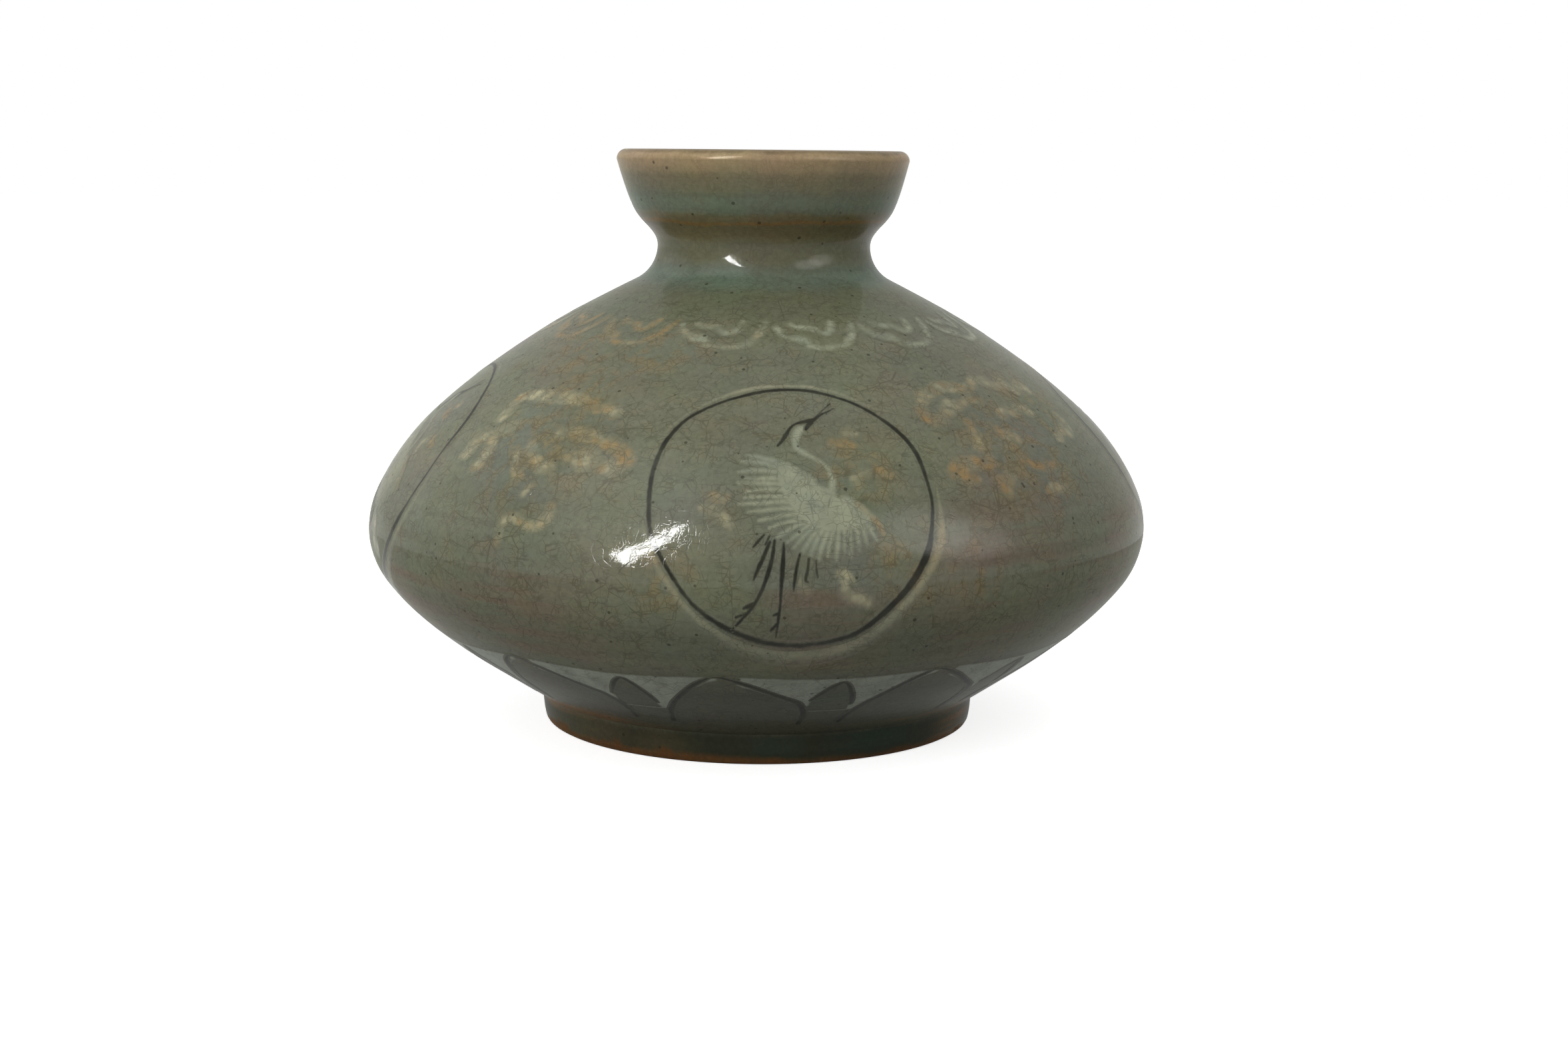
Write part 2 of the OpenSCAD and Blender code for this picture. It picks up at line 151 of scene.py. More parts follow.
def wallLean(z):
    reach = 0.2
    return math.atan2(wallRadius(z + reach) - wallRadius(z - reach), 2 * reach)


def wallBetween(low, high):
    spare = 0.1
    inside = outerRow[(outerRow[:, 1] > low + spare) & (outerRow[:, 1] < high - spare)]
    return [(wallRadius(low), low)] + [tuple(p) for p in inside] + [(wallRadius(high), high)]


def wallInner(low, high, depth, every):
    points = []
    for r, z in wallBetween(low, high)[::every]:
        lean = wallLean(min(max(z, wall["leanLow"]), wall["leanHigh"]))
        points.append((r - depth * math.cos(lean), z + depth * math.sin(lean)))
    return points


def turnPot(name, points, steps):
    clearPick()
    bpy.ops.mesh.primitive_plane_add(size=mm)
    piece = bpy.context.object
    piece.name = piece.data.name = name
    setMode("EDIT")
    bpy.ops.mesh.merge(type="CENTER")
    places = [Vector((r * mm, 0, z * mm)) for r, z in points]
    bpy.ops.transform.translate(value=places[0])
    for a, b in zip(places, places[1:]):
        bpy.ops.mesh.extrude_region_move(TRANSFORM_OT_translate={"value": b - a})
    bpy.ops.mesh.select_all(action="SELECT")
    bpy.ops.mesh.spin(steps=steps, angle=2 * math.pi, center=(0, 0, 0), axis=(0, 0, 1))
    bpy.ops.mesh.select_all(action="SELECT")
    bpy.ops.mesh.remove_doubles(threshold=wall["weld"] * mm)
    bpy.ops.mesh.normals_make_consistent(inside=False)
    setMode("OBJECT")
    bpy.ops.object.shade_smooth_by_angle(angle=math.radians(wall["smoothAngle"]))
    return piece


def makeGuide():
    guide = turnPot("wallGuide", [tuple(p) for p in outerRow], wall["guideTurns"])
    normal = guide.data.polygons[0].normal
    centre = guide.data.polygons[0].center
    if normal.x * centre.x + normal.y * centre.y < 0:  # inlays are wrapped on its outer side
        setMode("EDIT")
        bpy.ops.mesh.select_all(action="SELECT")
        bpy.ops.mesh.flip_normals()
        setMode("OBJECT")
    bpy.ops.object.shade_smooth()
    return guide


guide = makeGuide()
print("wall guide turned:", len(guide.data.vertices), "points")


def followWall(piece):
    applyModifier(piece, "DATA_TRANSFER", object=guide, use_loop_data=True,
                  data_types_loops={"CUSTOM_NORMAL"}, loop_mapping="POLYINTERP_NEAREST",
                  use_max_distance=True, max_distance=wall["normalReach"] * mm)


# clay sections, each a closed turned ring
clay = {
    "footOutside": [
        (25.3, 0.05), (26.5, 0.0), (28.0, 0.0), (29.6, 0.0), (30.2, 0.08), (30.5, 0.25), (30.65, 0.5),
        (30.75, 0.9), (30.85, 1.5), (30.92, 2.1), (30.98, 2.8), (31.06, 3.5), (31.16, 4.0), (31.3, 4.4),
    ],
    "footInside": [
        (24.7, 4.4), (24.5, 3.4), (24.4, 2.2), (24.4, 1.0), (24.6, 0.4), (24.9, 0.15), (25.3, 0.05),
    ],
    "floorRow": [0, 12, 24.7],
    "floorMiddle": 14,
    "innerEvery": 4,  # the inside takes every fourth point of the outside
    "shoulderGap": 0.5,
    "shoulderStep": 1.0,
    "boreMiddle": 65.0,
    "lipCentre": (19.1, 79.6),
    "lipRound": 1.4,
    "lipStep": 12,
    "cupInside": [
        (17.65, 79.2), (17.5, 78.6), (17.2, 77.6), (16.8, 76.6), (16.3, 75.7), (15.6, 74.9), (14.6, 74.3),
        (13.4, 73.8), (12.0, 73.3), (10.8, 72.9), (9.9, 72.6), (9.4, 72.3), (9.1, 71.9), (9.0, 71.4),
    ],
}


def makeClay():
    turns, bore, thick, every = wall["turns"], wall["throat"], wall["thick"], clay["innerEvery"]
    footTop, belly, neckBase, ridge = (wall[key] for key in ("footTop", "belly", "neckBase", "ridge"))
    foot = turnPot("footRing", clay["footOutside"] + clay["footInside"], turns)
    inner = wallInner(footTop, belly, thick, every)
    floorLevel = inner[0][1]
    floorRow = [(r, footTop) for r in clay["floorRow"]]
    lower = turnPot("lowerBody", floorRow + wallBetween(footTop, belly) + inner[::-1]
                    + [(clay["floorMiddle"], floorLevel), (0, floorLevel)], turns)
    inner = wallInner(belly, neckBase, thick, every)
    inner = [(r, z) for r, z in inner if z < neckBase - clay["shoulderGap"]]
    edge = [(inner[-1][0] - clay["shoulderStep"], neckBase)]
    upper = turnPot("upperBody", wallBetween(belly, neckBase) + edge + inner[::-1]
                    + [(wallRadius(belly), belly)], turns)
    collar = wallBetween(neckBase, ridge)
    throat = [(bore, ridge), (bore, clay["boreMiddle"]), (bore, neckBase)]
    neck = turnPot("neckCollar", collar + throat + [collar[0]], turns)
    lipR, lipZ = clay["lipCentre"]
    cup = wallBetween(ridge, lipZ)
    lip = []
    for degrees in range(0, 181, clay["lipStep"]):
        a = math.radians(degrees)
        lip.append((lipR + clay["lipRound"] * math.cos(a), lipZ + clay["lipRound"] * math.sin(a)))
    mouth = turnPot("mouthCup", cup[:-1] + lip + clay["cupInside"] + [(bore, ridge), cup[0]], turns)
    return foot, lower, upper, neck, mouth


footRing, lowerBody, upperBody, neckCollar, mouthCup = makeClay()
for piece in (lowerBody, upperBody, neckCollar, mouthCup):
    followWall(piece)
print("clay sections turned")


# inlays are drawn flat in mm, cut out of a fine grid and wrapped on the wall
# a point is across, up, half width and stain
inlay = {
    "depth": 0.6,
    "standOff": 12,
    "nudge": 0.02,
    "leastSlope": 0.3,
    "smoothAngle": 50,
}


def softened(line, closed=False):
    points = np.array([tuple(p) + (0.0,) * (4 - len(p)) for p in line], float)
    if len(points) < 3:
        return points
    around = np.vstack([points[-1:], points, points[:2]]) if closed else np.vstack(
        [2 * points[:1] - points[1:2], points, 2 * points[-1:] - points[-2:-1]])
    out = []
    for i in range(len(around) - 3):
        a, b, c, d = around[i:i + 4]
        for t in (0.0, 0.25, 0.5, 0.75):
            out.append(0.5 * (2 * b + (c - a) * t + (2 * a - 5 * b + 4 * c - d) * t ** 2
                              + (3 * b - a - 3 * c + d) * t ** 3))
    out.append(around[-2])
    return np.array(out)


def strokeDepth(places, line):
    a, b = (line, line) if len(line) == 1 else (line[:-1], line[1:])
    run = b[:, :2] - a[:, :2]
    length = np.maximum((run ** 2).sum(1), 1e-12)
    best = np.full(len(places), -1e3)
    stain = np.zeros(len(places))
    for i in range(len(a)):
        t = np.clip(((places - a[i, :2]) @ run[i]) / length[i], 0, 1)
        away = np.linalg.norm(places - a[i, :2] - t[:, None] * run[i], axis=1)
        value = a[i, 2] + t * (b[i, 2] - a[i, 2]) - away
        nearer = value > best
        best[nearer] = value[nearer]
        stain[nearer] = (a[i, 3] + t * (b[i, 3] - a[i, 3]))[nearer]
    return best, stain


def fillDepth(places, corners):
    corners = np.array(corners, float)
    inside = np.zeros(len(places), bool)
    away = np.full(len(places), 1e3)
    x, y = places[:, 0], places[:, 1]
    for a, b in zip(corners, np.roll(corners, -1, axis=0)):
        run = b - a
        t = np.clip(((places - a) @ run) / (run @ run), 0, 1)
        away = np.minimum(away, np.linalg.norm(places - a - t[:, None] * run, axis=1))
        if a[1] != b[1]:
            cross = ((a[1] > y) != (b[1] > y)) & (x < a[0] + (y - a[1]) * run[0] / run[1])
            inside ^= cross
    return np.where(inside, away, -away)


def drawingDepth(places, drawing):
    depth = np.full(len(places), -1e3)
    stain = np.zeros(len(places))
    for line in drawing.get("strokes", []):
        value, mark = strokeDepth(places, softened(line, drawing.get("closed", False)))
        nearer = value > depth
        depth[nearer] = value[nearer]
        stain[nearer] = mark[nearer]
    for corners in drawing.get("fills", []):
        depth = np.maximum(depth, fillDepth(places, corners))
    for corners in drawing.get("cuts", []):
        depth = np.minimum(depth, -fillDepth(places, corners))
    return depth, stain


def drawingBox(drawing):
    points = [p[:2] for line in drawing.get("strokes", []) + drawing.get("fills", []) for p in line]
    low, high = np.min(points, axis=0), np.max(points, axis=0)
    room = drawing["margin"] + max([p[2] for line in drawing.get("strokes", []) for p in line] + [0])
    return low - room, high + room


def flatOf(piece, low, high):
    return coordsOf(piece)[:, :2] * (high - low) / 2 + (high + low) / 2


def cutGrid(name, drawing, low, high):
    nx, ny = (int(math.ceil(v)) for v in (high - low) / drawing["cell"])
    clearPick()
    bpy.ops.mesh.primitive_grid_add(x_subdivisions=nx, y_subdivisions=ny, size=2)
    piece = bpy.context.object
    piece.name = piece.data.name = name
    depth, stain = drawingDepth(flatOf(piece, low, high), drawing)
    setMode("EDIT")
    bpy.context.tool_settings.mesh_select_mode = (True, False, False)
    setMode("OBJECT")
    piece.data.edges.foreach_set("select", np.zeros(len(piece.data.edges), bool))
    piece.data.polygons.foreach_set("select", np.zeros(len(piece.data.polygons), bool))
    piece.data.vertices.foreach_set("select", depth < -drawing["margin"])
    setMode("EDIT")
    bpy.ops.mesh.delete(type="VERT")
    bpy.ops.mesh.select_all(action="SELECT")
    bpy.ops.mesh.delete_loose(use_verts=True, use_edges=True, use_faces=False)
    setMode("OBJECT")
    return piece


def rimOf(piece):
    loopEdges = np.zeros(len(piece.data.loops), np.int32)
    piece.data.loops.foreach_get("edge_index", loopEdges)
    used = np.bincount(loopEdges, minlength=len(piece.data.edges))
    rim = np.zeros(len(piece.data.vertices), bool)
    for e in piece.data.edges:
        if used[e.index] == 1:
            rim[list(e.vertices)] = True
    return rim


def layInlay(name, az, level, drawing):
    low, high = drawingBox(drawing)
    piece = cutGrid(name, drawing, low, high)
    flat = flatOf(piece, low, high)
    depth, stain = drawingDepth(flat, drawing)
    rim = rimOf(piece)
    nudge = inlay["nudge"]
    slope = np.stack([drawingDepth(flat[rim] + np.array(step) * nudge, drawing)[0]
                      for step in ((1, 0), (0, 1))], -1)
    slope = (slope - depth[rim][:, None]) / nudge
    length = np.maximum(np.linalg.norm(slope, axis=1), inlay["leastSlope"])
    shift = np.clip(depth[rim] + drawing["margin"], 0, drawing["cell"])
    flat[rim] -= slope / length[:, None] * shift[:, None]
    depth, stain = drawingDepth(flat, drawing)
    writeCoords(piece, np.column_stack([flat * mm, np.zeros(len(flat))]))
    for key, values in (("inlayDepth", depth), ("inlayStain", stain)):
        layer = piece.data.attributes.new(key, "FLOAT", "POINT")
        layer.data.foreach_set("value", values.astype(np.float32))
    az, lean = math.radians(az), wallLean(level)
    side = Vector((math.cos(az), math.sin(az), 0))
    out = Vector((math.sin(az), -math.cos(az), 0))
    up = out * math.sin(lean) + Vector((0, 0, math.cos(lean)))
    face = side.cross(up)
    place = out * wallRadius(level) * mm + Vector((0, 0, level * mm)) + face * inlay["standOff"] * mm
    piece.matrix_world = Matrix((side, up, face)).transposed().to_4x4()
    piece.location = place
    applyModifier(piece, "SHRINKWRAP", target=guide, wrap_method="PROJECT", use_project_z=True,
                  use_negative_direction=True, use_positive_direction=False,
                  offset=drawing["proud"] * mm)
    settle(piece)
    applyModifier(piece, "SOLIDIFY", thickness=inlay["depth"] * mm, offset=-1)
    pick(piece)
    bpy.ops.object.shade_smooth_by_angle(angle=math.radians(inlay["smoothAngle"]))
    followWall(piece)
    return piece


def setStain(piece, share, more=0.0):
    layer = piece.data.attributes["inlayStain"].data
    values = np.zeros(len(layer), np.float32)
    layer.foreach_get("value", values)
    layer.foreach_set("value", values * share + more)


def copyRound(piece, name, turn):
    twin = piece.copy()
    twin.data = piece.data.copy()
    twin.name = twin.data.name = name
    bpy.context.scene.collection.objects.link(twin)
    twin.rotation_euler.z = math.radians(turn)
    settle(twin)
    return twin


def swayRound(piece, az, level, widen, slant):
    coords = coordsOf(piece)
    centre = math.radians(az)
    off = (np.arctan2(coords[:, 0], -coords[:, 1]) - centre + math.pi) % (2 * math.pi) - math.pi
    angle = centre + off * widen + math.radians(slant) * (coords[:, 2] / mm - level)
    radius = np.hypot(coords[:, 0], coords[:, 1])
    coords[:, 0] = radius * np.sin(angle)
    coords[:, 1] = -radius * np.cos(angle)
    writeCoords(piece, coords)


roundel = {
    "az": {"front": 4.5, "right": 94, "back": 184, "left": -79},
    "level": 36.5,
    "leftStain": 0.3,
}
ringDrawing = {
    "closed": True, "margin": 0.25, "cell": 0.13, "proud": 0.03,
    "strokes": [[
        (0, 19.9, 0.24), (3, 19.7, 0.27), (6, 18.9, 0.22), (9, 17.6, 0.22), (12, 15.5, 0.27),
        (14.5, 13, 0.32), (16, 10.5, 0.32), (17, 7, 0.24), (17.6, 3.5, 0.22), (17.4, 0, 0.27),
        (17, -2.5, 0.41), (16, -5, 0.44), (14.5, -7.3, 0.39), (12, -9.8, 0.32), (9, -11.8, 0.22),
        (6, -12.7, 0.16), (3, -13.1, 0.15), (0, -13.2, 0.16), (-3, -12.9, 0.18), (-6, -12.2, 0.22),
        (-9, -11, 0.22), (-12, -9, 0.2), (-14.5, -6, 0.22), (-16, -3.5, 0.24), (-17.1, -1, 0.24),
        (-17.5, 2, 0.27), (-17.3, 6, 0.3), (-16.5, 9.5, 0.29), (-15, 12.8, 0.29), (-12.5, 15.7, 0.24),
        (-9, 17.7, 0.22), (-6, 18.8, 0.22), (-3, 19.6, 0.27),
    ]],
}
haloDrawing = {
    "closed": True, "margin": 0.6, "cell": 0.2, "proud": 0.012,
    "strokes": [[
        (0, 20.5, 0.0, 0.1), (4, 20.3, 0.05, 0.1), (8.5, 18.7, -0.1, 0.2), (13, 15.5, -0.3, 0.4),
        (16.4, 11.5, -0.4, 0.5), (18, 7.5, -0.3, 0.5), (18.6, 3, 0.0, 0.5), (18.7, -0.5, 0.3, 0.7),
        (18.2, -3, 0.3, 0.7), (17, -5.5, 0.22, 0.5), (15, -8.2, 0.22, 0.3), (12.5, -10.6, 0.22, 0.3),
        (9.5, -12.4, 0.2, 0.2), (6, -13.4, 0.16, 0.2), (2.5, -13.8, 0.16, 0.2), (-1, -13.8, 0.14, 0.2),
        (-4.5, -13.3, 0.1, 0.3), (-8, -12.2, 0.05, 0.3), (-11.5, -10.3, 0.05, 0.3),
        (-14.6, -7.2, 0.05, 0.5), (-16.6, -4.2, 0.08, 0.6), (-17.9, -0.8, -0.1, 0.4),
        (-18.3, 3, -0.3, 0.3), (-18, 7, -0.3, 0.2), (-16.8, 11, -0.3, 0.2), (-14.6, 14.6, -0.2, 0.2),
        (-11.4, 17.2, -0.1, 0.2), (-7.5, 19.2, 0.0, 0.1), (-3.8, 20.3, 0.05, 0.1),
    ]],
}
craneDrawing = {
    "margin": 0.45, "cell": 0.16, "proud": 0.02,
    "fills": [
        [(5, 4.6), (5.6, 3.3), (6.5, 3.5), (7.5, 3.2), (8.6, 2.5), (9.5, 1.6), (10.1, 0.6), (9.6, 0.1),
         (8.4, -0.4), (7, -1.0), (5.5, -1.3), (4, -1.3), (2.6, -0.9), (1.4, -0.2), (0.4, 0.9),
         (-0.4, 2.0), (-1.2, 3.4), (-1.7, 5.0), (-2.0, 6.6), (-2.4, 8.2), (-0.8, 7.7), (0.9, 6.8),
         (2.3, 5.9), (3.4, 4.9), (4.2, 4.6)],
    ],
    "strokes": [
        [(1.9, 13.8, 0.25), (1.3, 13.2, 0.5), (0.8, 12.2, 0.48), (0.6, 11.2, 0.36), (0.9, 10.3, 0.3),
         (1.7, 9.6, 0.28), (2.8, 8.9, 0.2), (3.9, 8.1, 0.2), (4.7, 7.0, 0.3), (5.0, 5.8, 0.34),
         (4.9, 4.6, 0.45)],
        [(2.4, 5.6, 0.5), (0.8, 6.9, 0.4), (-1.2, 8.0, 0.4), (-3.2, 8.8, 0.32), (-5.4, 9.4, 0.12)],
        [(-0.6, 7.2, 0.42), (-2.4, 7.9, 0.36), (-4.2, 8.3, 0.28), (-6.2, 8.5, 0.12)],
        [(-0.2, 6.4, 0.42), (-2.2, 6.9, 0.38), (-4.2, 7.1, 0.28), (-6.5, 7.0, 0.12)],
        [(0.2, 5.4, 0.42), (-2.0, 5.9, 0.34), (-4.0, 5.9, 0.22), (-5.9, 6.0, 0.08)],
        [(0.2, 4.8, 0.42), (-2.0, 5.1, 0.34), (-4.2, 5.3, 0.26), (-6.6, 5.4, 0.1)],
        [(0.4, 4.0, 0.4), (-1.6, 4.3, 0.3), (-3.6, 4.3, 0.2), (-5.8, 4.1, 0.08)],
        [(0.5, 3.3, 0.4), (-1.6, 3.4, 0.3), (-3.7, 3.4, 0.18), (-5.9, 3.3, 0.08)],
        [(0.8, 2.5, 0.4), (-1.4, 2.6, 0.3), (-3.8, 2.5, 0.22), (-6.6, 2.5, 0.1)],
        [(1.0, 1.7, 0.38), (-0.9, 1.7, 0.28), (-3.0, 1.6, 0.2), (-5.4, 1.3, 0.08)],
        [(1.2, 1.0, 0.36), (-0.4, 0.9, 0.28), (-2.2, 0.6, 0.2), (-4.2, 0.2, 0.08)],
        [(1.5, 0.4, 0.34), (0.0, 0.1, 0.24), (-1.4, -0.3, 0.18), (-3.0, -0.8, 0.08)],
        [(1.9, 0.0, 0.32), (0.6, -0.5, 0.26), (-0.6, -1.1, 0.24), (-2.0, -2.0, 0.1)],
        [(2.3, -0.2, 0.32), (1.2, -1.0, 0.26), (0.2, -1.9, 0.2), (-0.8, -2.7, 0.08)],
        [(2.7, -0.4, 0.32), (1.7, -1.4, 0.28), (0.8, -2.4, 0.22), (0.1, -3.3, 0.08)],
        [(3.2, -0.6, 0.34), (2.4, -1.8, 0.3), (1.7, -2.9, 0.26), (1.1, -3.9, 0.1)],
        [(3.8, -0.6, 0.34), (3.1, -1.9, 0.32), (2.5, -3.2, 0.28), (2.1, -4.4, 0.1)],
        [(4.4, -0.7, 0.34), (3.9, -2.1, 0.32), (3.4, -3.4, 0.28), (3.1, -4.7, 0.1)],
        [(5.0, -0.7, 0.34), (4.7, -2.0, 0.3), (4.4, -3.2, 0.24), (4.2, -4.3, 0.08)],
        [(5.6, -0.7, 0.34), (5.5, -2.1, 0.3), (5.4, -3.4, 0.24), (5.3, -4.8, 0.08)],
        [(6.2, -0.6, 0.32), (6.3, -1.8, 0.28), (6.3, -2.9, 0.2), (6.3, -3.9, 0.08)],
        [(6.9, -0.4, 0.32), (7.0, -1.7, 0.28), (7.1, -3.0, 0.22), (7.0, -4.4, 0.08)],
        [(7.6, -0.2, 0.3), (7.9, -1.4, 0.26), (8.0, -2.5, 0.2), (8.1, -3.5, 0.08)],
        [(8.3, -0.1, 0.3), (8.7, -1.1, 0.26), (8.9, -2.0, 0.2), (9.1, -2.8, 0.08)],
        [(9.0, 0.1, 0.3), (9.5, -0.7, 0.26), (9.9, -1.5, 0.18), (10.3, -2.1, 0.08)],
        [(9.7, 1.2, 0.2, 0.6), (10.3, 0.3, 0.3, 0.9), (10.7, -0.3, 0.26, 0.9), (11.2, -1.2, 0.14, 0.8)],
    ],
    "cuts": [[(3.0, 7.8), (3.5, 7.2), (3.8, 6.0), (3.6, 5.1), (3.2, 5.6), (2.9, 6.8)]],
}
lineDrawing = {
    "margin": 0.2, "cell": 0.13, "proud": 0.03,
    "strokes": [
        [(-1.6, 10.7, 0.14), (-0.9, 11.6, 0.26), (-0.3, 12.7, 0.26), (0.2, 13.6, 0.22),
         (0.9, 14.2, 0.18), (1.8, 14.5, 0.26), (2.7, 14.7, 0.36), (3.3, 15, 0.28), (4.2, 15.8, 0.18),
         (5.2, 16.4, 0.13), (5.9, 16.9, 0.06)],
        [(3.4, 15.3, 0.1), (4.5, 16.6, 0.07), (5.4, 17.6, 0.08)],
        [(2.9, 14.5, 0.28), (2.4, 13.9, 0.32), (2.1, 13.3, 0.2)],
        [(-2.9, 10.6, 0.12)],
        [(-4.2, 11, 0.1)],
        [(-2.3, -2.4, 0.16), (-2.5, -4.2, 0.24), (-2.9, -6, 0.28), (-3.5, -7.8, 0.26),
         (-4.2, -9.2, 0.22), (-5, -10.2, 0.2), (-6, -11.1, 0.18), (-6.8, -11.7, 0.12)],
        [(-4.3, -9.4, 0.18), (-5, -9.7, 0.24), (-5.7, -9.9, 0.16)],
        [(-5.2, -10.4, 0.14), (-6.6, -10.7, 0.12)],
        [(-2.9, -2.6, 0.18), (-3.6, -4.4, 0.28), (-4.3, -6, 0.24), (-4.7, -7, 0.1)],
        [(-3.6, -1.7, 0.12), (-4.3, -2.5, 0.2), (-4.9, -3.2, 0.12)],
        [(-2.9, -1.8, 0.1), (-3.4, -2.9, 0.12)],
        [(-1.2, -2.7, 0.12), (-1.2, -4.5, 0.26), (-1.3, -7, 0.28), (-1.3, -9.5, 0.18), (-1.4, -11, 0.2),
         (-1.5, -12.6, 0.08)],
        [(-1.4, -10.5, 0.2), (-2.1, -10.7, 0.1)],
        [(-1.4, -11.4, 0.2), (-2.2, -12, 0.12)],
        [(0.8, -4.1, 0.14), (0.5, -5.5, 0.22), (0.3, -7, 0.2), (0.2, -8.3, 0.1)],
        [(1.9, -4.7, 0.14), (1.8, -6, 0.18), (1.6, -7.1, 0.22), (2.0, -7.4, 0.12)],
        [(2.8, -4.9, 0.08), (2.9, -6, 0.12), (3.1, -6.8, 0.08)],
    ],
}
wispDrawing = {
    "margin": 0.85, "cell": 0.24, "proud": 0.012,
    "strokes": [
        [(-10.8, 2.2, 0.3, 0.3), (-9.6, 1.4, 0.55, 0.1), (-8.6, 0.5, 0.55, 0.1),
         (-7.8, -0.2, 0.25, 0.2)],
        [(-9.6, 3.6, 0.45, 0.8), (-8.5, 3.4, 0.35, 0.8)],
        [(6.1, -6.4, 0.4, 0), (6.8, -7.2, 0.5, 0), (7, -8.4, 0.45, 0), (8.4, -8.7, 0.4, 0.1),
         (9.4, -9, 0.2, 0.1)],
        [(7.7, 6, 0.15, 0), (8.8, 6.9, 0.25, 0), (9.6, 7.1, 0.2, 0.1)],
        [(7.9, 5.9, 0.25, 0), (8.3, 4.9, 0.22, 0)],
        [(5.5, 11.3, 0.4, 0.8), (6.6, 11.2, 0.4, 1), (7.6, 11, 0.3, 1)],
        [(7.2, 13, 0.3, 0.5), (8, 13, 0.2, 0.5)],
        [(10.8, 7.6, 0.2, 1), (11.6, 7.2, 0.35, 1), (12.4, 7, 0.25, 0.9)],
        [(1.2, -7.5, 0.3, 0.2), (1.7, -8.2, 0.25, 0.2)],
    ],
}


cloudLeft = {
    "margin": 0.95, "cell": 0.26, "proud": 0.02,
    "strokes": [
        [(-12, -1.2, 0.5, 0.3), (-11.2, -0.6, 0.75, 0.25), (-11.2, 1.2, 0.7, 0.4),
         (-9.6, 1.8, 0.6, 0.7), (-8.6, 1.9, 0.6, 0.4), (-7.3, 3, 0.7, 0.1), (-5.4, 4, 0.45, 0.3)],
        [(-8.4, -3.2, 0.5, 0.5), (-7.8, -2.4, 0.75, 0.5), (-7.5, 0.3, 0.5, 0.3), (-8.4, 1.2, 0.4, 0.4)],
        [(-9.4, 5, 0.5, 0.1), (-9, 6.4, 0.8, 0), (-8.9, 8, 0.55, 0.4), (-8.3, 9.1, 0.6, 0.7),
         (-7, 9.5, 0.6, 0.5), (-5, 9.6, 0.9, 0.05), (-2.5, 9.2, 0.7, 0.5), (0, 9.5, 0.85, 0.3),
         (2.5, 9.1, 0.7, 0.9), (4, 8.9, 0.6, 1), (5.8, 8.2, 0.55, 0.8), (7.5, 8.5, 0.75, 0.7),
         (8.6, 7.9, 0.7, 0.7)],
        [(3, 3.2, 0.4, 0.2), (5.5, 4, 0.6, 0.8), (7.4, 3.5, 0.8, 0.6), (9.3, 3.2, 0.75, 0.7),
         (11.2, 2.8, 0.7, 0.9), (13, 2.4, 0.65, 0.9), (14.4, 1.2, 0.7, 0.8), (14.2, 0.2, 0.6, 0.6),
         (13, -0.4, 0.8, 0.3), (11.7, -0.6, 0.6, 1)],
        [(6.4, 0, 0.5, 0.8), (8.3, 0.9, 0.6, 0.5), (9.4, 0.7, 0.8, 0.05), (10.4, 0, 0.4, 0.6),
         (9, -0.9, 0.6, 0.5), (8, -0.7, 0.5, 0.6)],
        [(-0.5, 0.6, 0.45, 0.3), (1, -1, 0.4, 0.6), (2.4, -1.6, 0.5, 0.8), (3.3, -2.4, 0.6, 0.7),
         (4.6, -2.1, 0.5, 0.8)],
        [(-2.2, -0.4, 0.1, 0.4), (-0.8, -3.4, 0.15, 0.4), (0.6, -3.8, 0.1, 0.6)],
        [(1, -12.6, 0.2, 0.6), (0.8, -10.6, 0.4, 0.2), (2, -9.4, 0.2, 0.4), (4, -9.8, 0.3, 0.4),
         (6, -10, 0.35, 0.3), (7.5, -8.6, 0.45, 0.6), (7.3, -7.2, 0.25, 0.8)],
        [(2.3, -6.2, 0.1, 0.4), (3, -5.2, 0.05, 0.4)],
    ],
}
